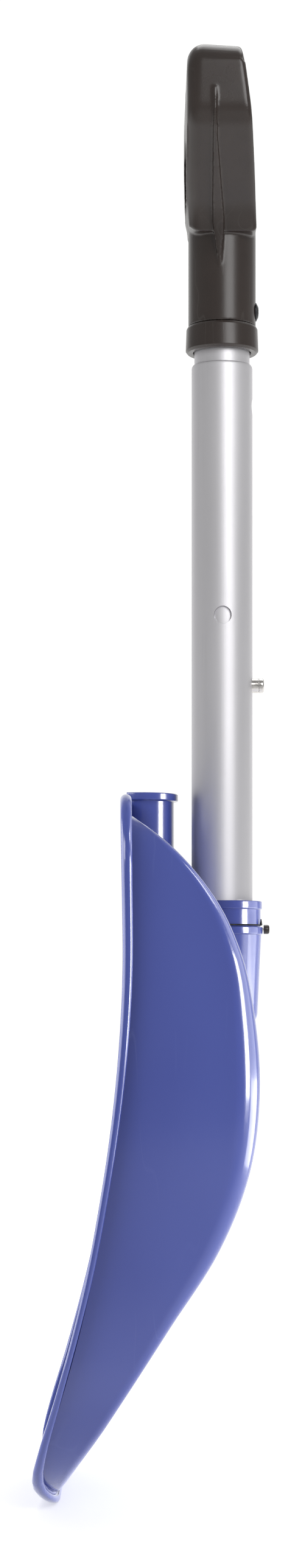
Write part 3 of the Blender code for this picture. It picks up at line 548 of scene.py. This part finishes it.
def mouth_outline(inset):
    """Half of the mouth's outline, from the tip's middle round to the top's middle."""
    half, bottom, top = MOUTH_HALF_WIDTH - inset, MOUTH_BOTTOM + inset, MOUTH_TOP - inset
    low_r, high_r = BOTTOM_CORNER - inset, TOP_CORNER - inset
    points = [((half - low_r) * i / END_STEPS, bottom) for i in range(END_STEPS)]
    for i in range(ARC_STEPS):
        angle = math.pi / 2 * i / ARC_STEPS
        points.append((half - low_r + low_r * math.sin(angle), bottom + low_r - low_r * math.cos(angle)))
    rise = top - high_r - bottom - low_r
    points += [(half, bottom + low_r + rise * i / SIDE_STEPS) for i in range(SIDE_STEPS)]
    for i in range(ARC_STEPS):
        angle = math.pi / 2 * i / ARC_STEPS
        points.append((half - high_r + high_r * math.cos(angle), top - high_r + high_r * math.sin(angle)))
    points += [((half - high_r) * (1 - i / END_STEPS), top) for i in range(END_STEPS + 1)]
    return points


def barrel(z):
    """Width at one height as a share of the widest, a little over half-way up."""
    return 1 - NARROWING * (z - WIDEST) ** 2


HEIGHTS = [z for _, z in mouth_outline(0.0)]


def pan_ring(inset_at, place_at):
    """One ring round the pan; inset_at and place_at give each of its points an inset and an X."""
    ring = []
    for i, height in enumerate(HEIGHTS):
        y, z = mouth_outline(inset_at(height))[i]
        ring.append((place_at(z, height), y * barrel(z), z))
    return ring


def rim_profile(height):
    """The rim's closed section at one height, as (outward from the wall, depth from the front) points.

    They run over the front face, round the half-round bead, along the channel behind it and into
    the wall. Factors of bead are shares of the bead's radius.
    """
    bead = rim_depth(height) / 2
    reach = rim_width(height) + WALL
    points = [(-WALL + RIM_INNER_ROUND * (1 - math.sin(turn)), RIM_INNER_ROUND * (1 - math.cos(turn)))
              for turn in np.linspace(math.pi / 2, 0, RIM_STEPS)]
    points += [(reach - bead + bead * math.sin(turn), bead - bead * math.cos(turn))
               for turn in np.linspace(0, math.pi, 2 * RIM_STEPS)]
    inner = max(reach - 1.9 * bead, 0.25 * reach)
    filled = min(max((TIP_FILLED - height) / TIP_FILLED, 0.0), 1.0) ** 0.5
    channel = min(WALL, 1.6 * bead) * (1 - filled) + 1.85 * bead * filled
    points += [(inner + 0.0003, 2 * bead - RIM_CREASE), (inner, 1.85 * bead),
               (inner, channel + RIM_CREASE)]
    foot = [(0.0005, 0.0), (0.0001, 0.0005), (-WALL / 2, 0.0012), (-WALL, 0.0008)]
    return points + [(out, channel + below) for out, below in foot]


def rim_mesh(name):
    """Half of the rim, its section carried round the mouth's outline."""
    sections = [rim_profile(height) for height in HEIGHTS]
    shape = bmesh.new()
    rings = []
    for k in range(len(sections[0])):
        ring = []
        for i, section in enumerate(sections):
            out, depth = section[k]
            y, z = mouth_outline(-out)[i]
            ring.append(shape.verts.new((front_edge(z) + depth, y * barrel(z), z)))
        rings.append(ring)
    for first, second in zip(rings, rings[1:] + rings[:1]):
        for i in range(len(first) - 1):
            shape.faces.new((first[i], first[i + 1], second[i + 1], second[i]))
    bmesh.ops.recalc_face_normals(shape, faces=shape.faces)
    return mesh_from_bmesh(name, shape)


def pan_rings():
    """Rings from just inside the rim, down the walls, to the edge of the back."""
    def wall_depth(height):
        """The wall's depth, held near the mouth's ends to what it is a little way in."""
        return pan_depth(min(max(height, MOUTH_BOTTOM + END_MARGIN), MOUTH_TOP - END_MARGIN))

    def corner(height):
        """Radius of the bend into the back, kept well under the wall's depth."""
        return min(back_corner(height), 0.6 * wall_depth(height))

    def on_wall(share, turn):
        """A ring part of the way down the wall or, past its foot, round the bend into the back."""
        def inset(height):
            """How far the ring lies inside the mouth's outline."""
            straight = wall_depth(height) - corner(height)
            return DRAFT * straight * share ** BULGE + corner(height) * (1 - math.cos(turn))

        def place(z, height):
            """X of the ring's point."""
            straight = 1 - corner(height) / wall_depth(height)
            part = straight * share + (1 - straight) * math.sin(turn)
            return front_edge(z) + WALL + RIM_ROUND + max(pan_depth(z) - RIM_ROUND, 0.0) * part
        return pan_ring(inset, place)

    rings = [on_wall(i / WALL_STEPS, 0.0) for i in range(WALL_STEPS)]
    return rings + [on_wall(1.0, math.pi / 2 * i / CORNER_STEPS) for i in range(CORNER_STEPS + 1)]


def ring_sides(ring):
    """Half a ring as the patch's three sides: along the tip, up the side and along the top."""
    return ring[:BACK_COLUMNS + 1], ring[BACK_COLUMNS:-BACK_COLUMNS], ring[-BACK_COLUMNS - 1:][::-1]


def back_grid(edge):
    """Points that fill half of the back inside its edge ring, in rows from the middle outwards.

    Y and Z are blended between the edge's sides and the middle line; the middle stands out in X.
    """
    low, side, high = ring_sides(edge)
    grid = []
    for j, rim_point in enumerate(side):
        v = (rim_point[2] - side[0][2]) / (side[-1][2] - side[0][2])
        middle = (None, 0.0, low[0][2] + v * (high[0][2] - low[0][2]))
        ends = math.sin(math.pi * min(max(v, 0.0), 1.0)) if 0 < j < len(side) - 1 else 0.0
        row = []
        for i in range(BACK_COLUMNS + 1):
            u = i / BACK_COLUMNS
            y, z = [(1 - v) * low[i][k] + v * high[i][k] + (1 - u) * middle[k] + u * rim_point[k]
                    - ((1 - u) * ((1 - v) * low[0][k] + v * high[0][k])
                       + u * ((1 - v) * low[-1][k] + v * high[-1][k])) for k in (1, 2)]
            row.append((front_edge(z) + WALL + pan_depth(z) + CROWN * ends * (1 - u * u), y, z))
        grid.append(row)
    return grid


def pan_mesh(name):
    """Half of the scoop's outside surface, open at Y = 0."""
    rings = pan_rings()
    shape = bmesh.new()
    ring_verts = [[shape.verts.new(point) for point in ring] for ring in rings]
    for outer, inner in zip(ring_verts, ring_verts[1:]):
        for i in range(len(outer) - 1):
            shape.faces.new((outer[i], outer[i + 1], inner[i + 1], inner[i]))
    low, side, high = ring_sides(ring_verts[-1])
    inner_rows = list(zip(back_grid(rings[-1]), side))[1:-1]
    rows = [[shape.verts.new(point) for point in row[:-1]] + [last] for row, last in inner_rows]
    rows = [low, *rows, high]
    for lower, upper in zip(rows, rows[1:]):
        for i in range(BACK_COLUMNS):
            shape.faces.new((lower[i], lower[i + 1], upper[i + 1], upper[i]))
    return mesh_from_bmesh(name, shape)


def socket_bore():
    """Cutter for the shaft's way into the socket."""
    return rod("socket_bore", SOCKET_BORE_R, (0, 0, SOCKET_FLOOR), (0, 0, BORE_TOP))


def clip_bore():
    """Cutter for the upper tube's way through the stow clip."""
    return rod("clip_bore", CLIP_BORE_R, (CLIP_X, 0, CLIP_BOTTOM - 0.02), (CLIP_X, 0, CLIP_TOP + 0.01))


def eased_mouth(name, x, bore_r, top):
    """Cutter that flares the top of a bore."""
    return rod(name, bore_r, (x, 0, top - MOUTH_DEPTH), (x, 0, top + MOUTH_DEPTH),
               end_radius=bore_r + MOUTH_FLARE)


def build_pan():
    """The scoop's walls and back."""
    pan = new_object("scoop_pan", pan_mesh("scoop_pan"))
    mirror_half(pan)
    shell = pan.modifiers.new("Wall", "SOLIDIFY")
    shell.thickness = WALL
    shell.offset = -1
    shell.use_even_offset = True
    pan = cut(pan, socket_bore(), clip_bore())
    dress(pan, BLUE, "blade", "blade_blue", "blade")


def build_rim():
    """The rolled rim round the scoop's mouth."""
    rim = new_object("scoop_rim", rim_mesh("scoop_rim"))
    mirror_half(rim)
    dress(cut(rim, clip_bore()), BLUE, "blade", "blade_blue", "blade")


def build_shaft_socket():
    """The shaft socket: collar, ring boss, tapering body and the fairing below it."""
    fairing = [(SOCKET_FOOT_R * math.cos(angle),
                SOCKET_FOOT - (SOCKET_FOOT - FAIRING_BOTTOM) * math.sin(angle))
               for angle in np.linspace(0, math.pi / 2, 17)[1:-1]]
    profile = filleted([(0, SOCKET_TOP), (SOCKET_BORE_R - 0.001, SOCKET_TOP), (COLLAR_R, SOCKET_TOP, 0.0007),
                        (COLLAR_R, COLLAR_BOTTOM, 0.0006), (SOCKET_R, COLLAR_BOTTOM, 0.0001),
                        (SOCKET_R, BOSS_TOP, 0.0004), (BOSS_R, BOSS_TOP, 0.0004),
                        (BOSS_R, BOSS_BOTTOM, 0.0005), (SOCKET_WAIST_R, BOSS_BOTTOM, 0.0002),
                        (SOCKET_FOOT_R, SOCKET_FOOT)])
    socket = turned("shaft_socket", profile + fairing + [(0, FAIRING_BOTTOM)])
    mouth = eased_mouth("socket_mouth", 0, SOCKET_BORE_R, SOCKET_TOP)
    slot = ring_wire("ring_slot", RING_WIRE_R + SLOT_GAP, False)
    pin_hole = rod("pin_hole", PIN_R + GAP, (0.010, 0, PIN_Z), (0.030, 0, PIN_Z), SMALL_STEPS)
    socket = cut(socket, socket_bore(), mouth, slot, pin_hole)
    dress(socket, BLUE, "blade", "blade_blue", "blade")


def build_saddle():
    """The half-round saddle above the socket's collar, where the scoop's top wraps round the shaft."""
    profile = filleted([(0, COLLAR_BOTTOM), (SADDLE_R, COLLAR_BOTTOM), (SADDLE_R, SADDLE_TOP, 0.0010),
                        (0, SADDLE_TOP)])
    saddle = turned("socket_saddle", profile[::-1])
    slope = Vector((back_line(SADDLE_TOP) - back_line(SOCKET_TOP), 0, SADDLE_TOP - SOCKET_TOP)).normalized()
    outward = Vector((slope.z, 0, -slope.x))
    foot = Vector((back_line(SOCKET_TOP), 0, SOCKET_TOP)) - outward * WALL / 2
    # everything that stands out past the middle of the scoop's wall is taken off
    above = block("saddle_trim", (0, -0.04, -0.08), (0.08, 0.04, 0.08))
    turn = Matrix((outward, (0, 1, 0), slope)).transposed().to_4x4()
    above.data.transform(Matrix.Translation(foot) @ turn)
    saddle = cut(saddle, above, socket_bore())
    dress(saddle, BLUE, "blade", "blade_blue", "blade")


def build_clip():
    """The stow clip: a short collared tube whose open-fronted bore takes the upper tube."""
    profile = filleted([(0, CLIP_TOP), (CLIP_BORE_R - 0.001, CLIP_TOP), (CLIP_COLLAR_R, CLIP_TOP, 0.0007),
                        (CLIP_COLLAR_R, CLIP_COLLAR_BOTTOM, 0.0006), (CLIP_R, CLIP_COLLAR_BOTTOM, 0.0005),
                        (CLIP_R, CLIP_BOTTOM), (0, CLIP_BOTTOM)])
    clip = turned("stow_clip", profile, place=DATUM + Vector((CLIP_X, 0, 0)))
    jaws = block("clip_jaws", (CLIP_JAW_X - 0.03, -0.03, CLIP_BOTTOM - 0.01),
                 (CLIP_JAW_X, 0.03, CLIP_TOP + 0.01))
    mouth = eased_mouth("clip_mouth", CLIP_X, CLIP_BORE_R, CLIP_TOP)
    clip = cut(clip, jaws, clip_bore(), mouth)
    dress(clip, BLUE, "blade", "blade_blue", "blade")


def ring_wire(name, wire_r, hook):
    """An open ring of round wire about the shaft, with its opening at the back and one end turned up."""
    curve = bpy.data.curves.new(name, "CURVE")
    curve.dimensions = "3D"
    curve.bevel_depth = wire_r
    curve.bevel_resolution = 4
    curve.use_fill_caps = True
    turns = np.linspace(RING_OPENING, math.tau - RING_OPENING, RING_POINTS)
    path = [(RING_R, angle, RING_Z, 1.0) for angle in turns]
    if hook:
        path += [(HOOK_R, -RING_OPENING, RING_Z + 0.0003, HOOK_WIRE_R / wire_r),
                 (HOOK_R, -RING_OPENING, RING_Z + 0.6 * HOOK_RISE, 1.1),
                 (HOOK_R, -RING_OPENING, RING_Z + HOOK_RISE, 0.6)]
    spline = curve.splines.new("POLY")
    spline.points.add(len(path) - 1)
    for point, (radius, angle, z, thickness) in zip(spline.points, path):
        point.co = (radius * math.cos(angle), radius * math.sin(angle), z, 1)
        point.radius = thickness
    wire = settled(new_object(name, curve))
    shape = bmesh.new()
    shape.from_mesh(wire.data)
    bmesh.ops.remove_doubles(shape, verts=shape.verts, dist=WELD)
    bmesh.ops.recalc_face_normals(shape, faces=shape.faces)
    shape.to_mesh(wire.data)
    shape.free()
    return wire


# ---- shaft ----
def tube(name, radius, bore, low, high, edge):
    """A round tube with a rolled-in top edge and a small chamfer at its foot."""
    rolled = [(radius - edge * (1 - math.cos(angle)), high - 2.2 * edge * (1 - math.sin(angle)))
              for angle in np.linspace(math.pi / 2, 0, 9)]
    profile = [(bore, high), *rolled, (radius, low + TUBE_CHAMFER), (radius - TUBE_CHAMFER, low),
               (bore, low)]
    return turned(name, profile, closed=True)


def drilled(name, radius, z, side, surface_r):
    """Cutters for a hole through one wall at height z: the cone that breaks its edge, and the drill."""
    def at(depth):
        """The point of the hole's axis at one depth under the tube's surface."""
        return Vector(side) * (surface_r - depth) + Vector((0, 0, z))

    return [rod(name + "_edge", radius - 2 * EDGE_BREAK, at(EDGE_DEPTH), at(-EDGE_BREAK), SMALL_STEPS,
                end_radius=radius + EDGE_BREAK),
            rod(name, radius, at(DRILL_REACH), at(-DRILL_REACH), SMALL_STEPS)]


def build_tubes():
    """The two tubes, with their holes for the button, the pin and the screw."""
    back, near = (1, 0, 0), (0, -1, 0)
    main = tube("main_tube_fine", MAIN_R, MAIN_BORE_R, MAIN_BOTTOM, MAIN_TOP, MAIN_ROLL)
    cutters = (drilled("snap_hole", SNAP_HOLE_R, SNAP_Z, back, MAIN_R)
               + drilled("upper_snap_hole", SNAP_HOLE_R, SNAP_UPPER_Z, back, MAIN_R)
               + drilled("main_pin_hole", PIN_R + GAP, PIN_Z, back, MAIN_R)
               + drilled("side_hole", SIDE_HOLE_R, SIDE_HOLE_Z, near, MAIN_R))
    dress(cut(main, *cutters), TUBE, "shaft", "tube_alloy", "main_tube")

    upper = tube("upper_tube_fine", UPPER_R, UPPER_BORE_R, UPPER_BOTTOM, UPPER_TOP, UPPER_ROLL)
    cutters = (drilled("button_hole", SNAP_HOLE_R, SNAP_Z, back, UPPER_R)
               + drilled("screw_hole", SCREW_HOLE_R, SCREW_Z, back, UPPER_R))
    dress(cut(upper, *cutters), TUBE, "handle", "tube_alloy", "upper_tube")


def build_lock_pin():
    """The pin's black head, and the wire ring that holds it in."""
    profile = filleted([(0, HEAD_FRONT), (HEAD_R, HEAD_FRONT, 0.0010), (HEAD_R, HEAD_BACK, 0.0003),
                        (STUD_BORE_R, HEAD_BACK), (STUD_BORE_R, STUD_BORE_END), (0, STUD_BORE_END)])
    head = turned_across("lock_pin_head_fine", profile, PIN_Z)
    dress(settled(head), BLACK, "lock_pin", "grip_black", "lock_pin_head")
    ring = ring_wire("lock_pin_ring_fine", RING_WIRE_R, True)
    dress(ring, DARK_STEEL, "blade", "dark_steel", "lock_pin_ring")


def build_snap_button():
    """The steel button, with the groove round its tip."""
    profile = filleted([(0, SNAP_TIP), (SNAP_R, SNAP_TIP, 0.0009),
                        (SNAP_R, SNAP_GROOVE + SNAP_GROOVE_HALF, 0.0001),
                        (SNAP_R - SNAP_GROOVE_DEPTH, SNAP_GROOVE, 0.0001),
                        (SNAP_R, SNAP_GROOVE - SNAP_GROOVE_HALF, 0.0001),
                        (SNAP_R, SNAP_FLANGE_FRONT, 0.0002), (SNAP_FLANGE_R, SNAP_FLANGE_FRONT, 0.0002),
                        (SNAP_FLANGE_R, SNAP_FLANGE_BACK, 0.0002), (0, SNAP_FLANGE_BACK)])
    button = turned_across("snap_button_fine", profile, SNAP_Z)
    dress(settled(button), STEEL, "snap_button", "button_steel", "snap_button")


def build_snap_spring():
    """The V-shaped leaf spring that pushes the button out."""
    right, bend_z = SNAP_FLANGE_BACK - SPRING_THICK, SNAP_Z - SPRING_DROP
    bend = [(SPRING_BEND_R * math.cos(angle) + (SPRING_LEFT + right) / 2,
             bend_z + SPRING_BEND_R * math.sin(angle))
            for angle in np.linspace(*SPRING_BEND, 25)]
    path = [(SPRING_LEFT, SNAP_Z + SPRING_LEFT_RISE), (SPRING_LEFT, SNAP_Z - SPRING_FALL), *bend,
            (right, SNAP_Z - SPRING_FALL), (right, SNAP_Z + SPRING_RIGHT_RISE)]
    shape = bmesh.new()
    edges = [[shape.verts.new((x, y, z)) for x, z in path] for y in (-SPRING_HALF_WIDTH, SPRING_HALF_WIDTH)]
    for i in range(len(path) - 1):
        shape.faces.new((edges[0][i], edges[0][i + 1], edges[1][i + 1], edges[1][i]))
    spring = new_object("snap_spring_fine", mesh_from_bmesh("snap_spring_fine", shape))
    leaf = spring.modifiers.new("Leaf", "SOLIDIFY")
    leaf.thickness = SPRING_THICK
    leaf.offset = 0
    leaf.use_even_offset = True
    edge = spring.modifiers.new("Rolled edges", "BEVEL")
    edge.width = SPRING_EDGE
    edge.segments = 2
    edge.angle_limit = math.radians(60)
    spring = settled(spring)
    dress(spring, SPRING_STEEL, "handle", "spring_steel", "snap_spring")
    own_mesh(spring)


# ---- grip ----
def grip_back(z):
    """X of the grip's back face, which leans forward as it rises."""
    rise = z - GRIP_BOTTOM
    return GRIP_BACK_FOOT - GRIP_LEAN * rise - GRIP_CURVE * rise ** 2


def grip_front(z):
    """X of the grip's front face, which runs in to the socket at its foot."""
    rise = min(max((z - GRIP_BOTTOM) / GRIP_RUN_IN, 0.0), 1.0)
    return -SOCKET_OUTER_R + (GRIP_FRONT + SOCKET_OUTER_R) * rise * rise * (3 - 2 * rise)


def above_foot(corners):
    """Outline corners given by their height above the grip's foot."""
    return [(corner[0], GRIP_BOTTOM + corner[1], *corner[2:]) for corner in corners]


def spaced(outline, step=0.004):
    """The same outline with its long stretches divided, so that they can follow a curved face."""
    points = []
    for (y1, z1), (y2, z2) in zip(outline, outline[1:]):
        count = max(1, round(math.hypot(y2 - y1, z2 - z1) / step))
        points += [(y1 + (y2 - y1) * i / count, z1 + (z2 - z1) * i / count) for i in range(count)]
    return points + [outline[-1]]


def edge_round(edge):
    """How far one of the grip's long edges is rounded; the top's front edge is rounded most."""
    middle = (edge.verts[0].co + edge.verts[1].co) / 2
    rise = min(max((middle.z - GRIP_TOP + GRIP_CORNER) / GRIP_CORNER, 0.0), 1.0)
    low, high = (GRIP_ROUND, GRIP_TOP_ROUND) if middle.x < 0 else (GRIP_BACK_ROUND, GRIP_BACK_TOP_ROUND)
    return low + (high - low) * rise


def grip_body():
    """The D itself: half of its outline, mirrored, with rounded edges."""
    outer = spaced(filleted(above_foot(GRIP_OUTLINE), 10))
    hole = spaced(filleted(above_foot(GRIP_HOLE), 8))
    shape = slab(outer + hole, -1.0, 1.0)
    for vert in shape.verts:
        y, z = vert.co.y, vert.co.z
        if vert.co.x < 0:
            vert.co = (grip_front(z), y, z)
        else:
            fall = GRIP_TOP_FALL if z > GRIP_TOP - GRIP_FALL_BAND else 0.0
            vert.co = (grip_back(z), y, z - fall)
    middle = [face for face in shape.faces if all(abs(vert.co.y) < 1e-6 for vert in face.verts)]
    bmesh.ops.delete(shape, geom=middle, context="FACES_ONLY")
    rounding = shape.edges.layers.float.new("bevel_weight_edge")
    for edge in shape.edges:
        crosses = abs(edge.verts[0].co.x - edge.verts[1].co.x) > GRIP_ROUND
        if not crosses and not edge.is_boundary:
            edge[rounding] = edge_round(edge) / GRIP_TOP_ROUND
    body = new_object("grip_body", mesh_from_bmesh("grip_body", shape))
    mirror_half(body)
    edges = body.modifiers.new("Rounded edges", "BEVEL")
    edges.limit_method = "WEIGHT"
    edges.width = GRIP_TOP_ROUND
    edges.segments = 8
    edges.use_clamp_overlap = False
    return body


rib_thickness = curve_through(RIB_THICKNESS)
rib_middle = curve_through(RIB_MIDDLE)


def rib_half(z):
    """Half the thickness of a rib: a point at its foot, full where it leaves the socket, thin above."""
    return rib_thickness(z - GRIP_BOTTOM) / 2


def grip_rib(side):
    """The gusset fin on the outside of one leg."""
    outline = spaced(filleted(above_foot(RIB_OUTLINE)), 0.002)
    shape = slab(outline, -1.0, 1.0)
    for vert in shape.verts:
        z = vert.co.z
        vert.co.x = rib_middle(z - GRIP_BOTTOM) + math.copysign(rib_half(z), vert.co.x)
    rib = new_object("grip_rib", mesh_from_bmesh("grip_rib", shape))
    if side < 0:
        rib.data.transform(Matrix.Diagonal((1, -1, 1, 1)))
        rib.data.flip_normals()
    return rib


def build_grip():
    """Body, socket and ribs as one moulding: joined, remeshed finely and eased at its inner corners."""
    seam = GRIP_BOTTOM + GRIP_SEAM
    socket = turned("grip_socket", [(0, seam), (SOCKET_OUTER_R, seam), (SOCKET_OUTER_R, SPIGOT_TOP),
                                    (0, SPIGOT_TOP)])
    others = [grip_body(), grip_rib(1), grip_rib(-1)]
    for other in others:
        combine(socket, "UNION", other)
    remesh = socket.modifiers.new("Moulded skin", "REMESH")
    remesh.mode = "VOXEL"
    remesh.voxel_size = VOXEL
    ease = socket.modifiers.new("Eased corners", "SMOOTH")
    ease.factor = 0.5
    ease.iterations = 6
    grip = settled(socket)
    for other in others:
        bpy.data.objects.remove(other)
    grip.name = "d_grip_fine"
    seat, way_in, end = (SCREW_SEAT, 0, SCREW_Z), (SCREW_WAY_IN, 0, SCREW_Z), (SEAT_END, 0, SCREW_Z)
    grip = cut(grip,
               rod("grip_bore", GRIP_BORE_R, (0, 0, SPIGOT_TOP - 0.01), (0, 0, UPPER_TOP + GAP)),
               rod("screw_seat", SCREW_HEAD_R + SEAT_GAP, seat, end, SMALL_STEPS),
               rod("screw_way", SCREW_HOLE_R, way_in, end, SMALL_STEPS))
    dress(grip, BLACK, "handle", "grip_black", "d_grip")


def build_spigot():
    """The thin foot of the grip's socket, inside the collar."""
    top = SPIGOT_TOP + SPIGOT_LAP
    spigot = turned("grip_spigot", [(GRIP_BORE_R, SPIGOT_BOTTOM), (GRIP_BORE_R, top), (SPIGOT_R, top),
                                    (SPIGOT_R, SPIGOT_BOTTOM + SPIGOT_CHAMFER),
                                    (SPIGOT_R - SPIGOT_CHAMFER, SPIGOT_BOTTOM)], closed=True)
    dress(settled(spigot), BLACK, "handle", "grip_black", "d_grip")


def build_screw():
    """The cross-head screw that holds the grip to the upper tube."""
    under = SCREW_SEAT + GAP
    profile = filleted([(0, under + 0.0021), (0.0026, under + 0.0019, 0.0010),
                        (SCREW_HEAD_R, under + 0.0008, 0.0004), (SCREW_HEAD_R, under, 0.0002),
                        (SCREW_SHANK_R, under), (SCREW_SHANK_R, SCREW_POINT), (0, SCREW_TIP)])
    screw = turned_across("grip_screw_fine", profile, SCREW_Z)
    floor, end = under + RECESS_FLOOR, 0.03
    recess = [block(name, (floor, -half_y, SCREW_Z - half_z), (end, half_y, SCREW_Z + half_z))
              for name, half_y, half_z in (("recess_up", RECESS_HALF_WIDTH, RECESS_REACH),
                                           ("recess_across", RECESS_REACH, RECESS_HALF_WIDTH))]
    dress(cut(screw, *recess), DARK_STEEL, "handle", "dark_steel", "grip_screw")


def build_collar():
    """The flared collar round the spigot."""
    bore_r, top, step = SPIGOT_R + GAP, SPIGOT_TOP - GAP, SPIGOT_BOTTOM - GAP
    profile = filleted([(bore_r, top), (COLLAR_TOP_R, top, 0.0003),
                        (COLLAR_NECK_R, top - COLLAR_SLOPE, 0.0012),
                        (COLLAR_FLARE_R, COLLAR_FOOT + 0.0012, 0.0006), (0.0181, COLLAR_FOOT, 0.0005),
                        (0.0154, COLLAR_FOOT, 0.0004), (COLLAR_BORE_R, COLLAR_FOOT + 0.0009, 0.0003),
                        (COLLAR_BORE_R, step), (bore_r, step)])
    collar = turned("grip_collar_fine", profile, closed=True)
    dress(settled(collar), BLACK, "handle", "grip_black", "grip_collar")


def dress_kept_nodes():
    """CAD nodes that stay as they are, inside the tool, get the same finishes."""
    for name, mat in (("lock_pin", STEEL), ("main_tube_plug", PLUG), ("upper_tube_plug", PLUG)):
        node = frame["nodes"][name]
        node.data.materials.clear()
        node.data.materials.append(mat)


# ---- studio ----
def build_floor():
    """A pale sheet that glows behind the object and stops glowing some way in front of it."""
    nodes = Nodes("studio_floor")
    split = nodes.add("ShaderNodeSeparateXYZ")
    nodes.link(nodes.place, split.inputs["Vector"])
    back = nodes.ranged(split.outputs["Y"], 0.0, 1.0, start=-0.60, end=-0.17)
    tone = nodes.noise(3, detail=2.0)
    paper = nodes.mixed(tone, (0.88, 0.88, 0.875), (0.92, 0.92, 0.915))
    nodes.set(Base_Color=nodes.mixed(back, (0.72, 0.72, 0.715), paper))
    far = nodes.ranged(split.outputs["Y"], 0.50, 0.66, start=-0.10, end=0.60)
    nodes.set(Roughness=0.85, Emission_Strength=product(nodes, back, far))
    nodes.shader.inputs["Emission Color"].default_value = (1.0, 1.0, 0.995, 1.0)
    shape = bmesh.new()
    bmesh.ops.create_grid(shape, x_segments=12, y_segments=12, size=9.0)
    floor = new_object("studio_floor", mesh_from_bmesh("studio_floor", shape), (0, 0, 0))
    floor.data.materials.append(nodes.material)


def build_world():
    """White surroundings: bright behind the object, softer in front of it."""
    world = bpy.data.worlds.new("studio")
    world.use_nodes = True
    scene.world = world
    tree = world.node_tree
    background = tree.nodes["Background"]
    where = tree.nodes.new("ShaderNodeTexCoord")
    split = tree.nodes.new("ShaderNodeSeparateXYZ")
    strength = tree.nodes.new("ShaderNodeMapRange")
    strength.interpolation_type = "SMOOTHSTEP"
    for name, number in (("From Min", 0.45), ("From Max", 0.90), ("To Min", 0.42), ("To Max", 1.06)):
        strength.inputs[name].default_value = number
    background.inputs["Color"].default_value = (1.0, 1.0, 0.99, 1.0)
    tree.links.new(where.outputs["Generated"], split.inputs["Vector"])
    tree.links.new(split.outputs["Y"], strength.inputs["Value"])
    tree.links.new(strength.outputs["Result"], background.inputs["Strength"])


def softbox(name, azimuth, distance, height, size, watts, aim_height, blue):
    """An area light at an azimuth in degrees to the right of the camera's side, turned to the shaft.

    It lights just the blue pieces, or everything but them.
    """
    light = bpy.data.lights.new(name, "AREA")
    light.shape = "RECTANGLE"
    light.size, light.size_y = size
    light.energy = watts
    turn = math.radians(azimuth)
    place = Vector((DATUM.x + distance * math.sin(turn), -distance * math.cos(turn), height))
    lamp = bpy.data.objects.new(name, light)
    scene.collection.objects.link(lamp)
    lamp.location = place
    aim = Vector((DATUM.x, 0, aim_height)) - place
    lamp.rotation_euler = aim.to_track_quat("-Z", "Y").to_euler()
    lit = bpy.data.collections.new(name + "_lights")
    for obj in bpy.data.objects:
        if obj.type == "MESH" and (BLUE.name in obj.data.materials) == blue:
            lit.objects.link(obj)
    lamp.light_linking.receiver_collection = lit


def build_camera():
    """Level camera at the height of the scoop's shoulder, shifted up to take in the whole tool."""
    data = bpy.data.cameras.new("camera")
    data.sensor_width = 36.0
    data.lens = CAMERA_LENS
    data.shift_y = CAMERA_SHIFT
    camera = bpy.data.objects.new("camera", data)
    scene.collection.objects.link(camera)
    camera.location = (DATUM.x - CAMERA_LEFT, -CAMERA_DISTANCE, CAMERA_HEIGHT)
    camera.rotation_euler = (math.pi / 2, 0, 0)
    scene.camera = camera


build_pan()
build_rim()
build_shaft_socket()
build_saddle()
build_clip()
build_tubes()
build_lock_pin()
build_snap_button()
build_snap_spring()
build_grip()
build_spigot()
build_screw()
build_collar()
dress_kept_nodes()
build_floor()
build_world()
softbox("key_softbox", 24, 1.9, 1.22, (1.05, 1.2), 17, 0.55, blue=False)
softbox("left_fill", -42, 1.9, 1.20, (0.9, 1.0), 15, 0.25, blue=True)
softbox("right_strip", 70, 1.9, 0.42, (0.60, 0.70), 32, 0.30, blue=True)
softbox("upper_right", 78, 1.7, 1.50, (0.6, 0.5), 9, 0.30, blue=True)
softbox("right_wall", 102, 1.7, 0.75, (1.3, 1.5), 14, 0.25, blue=True)
softbox("right_floor", 100, 0.7, 0.05, (0.5, 0.3), 3.5, 0.14, blue=True)
softbox("left_wall", -84, 1.6, 0.70, (2.2, 1.3), 36, 0.22, blue=True)
softbox("top_softbox", 160, 0.7, 2.2, (1.5, 1.2), 14, 0.50, blue=False)
build_camera()
scene.view_settings.view_transform = "Standard"
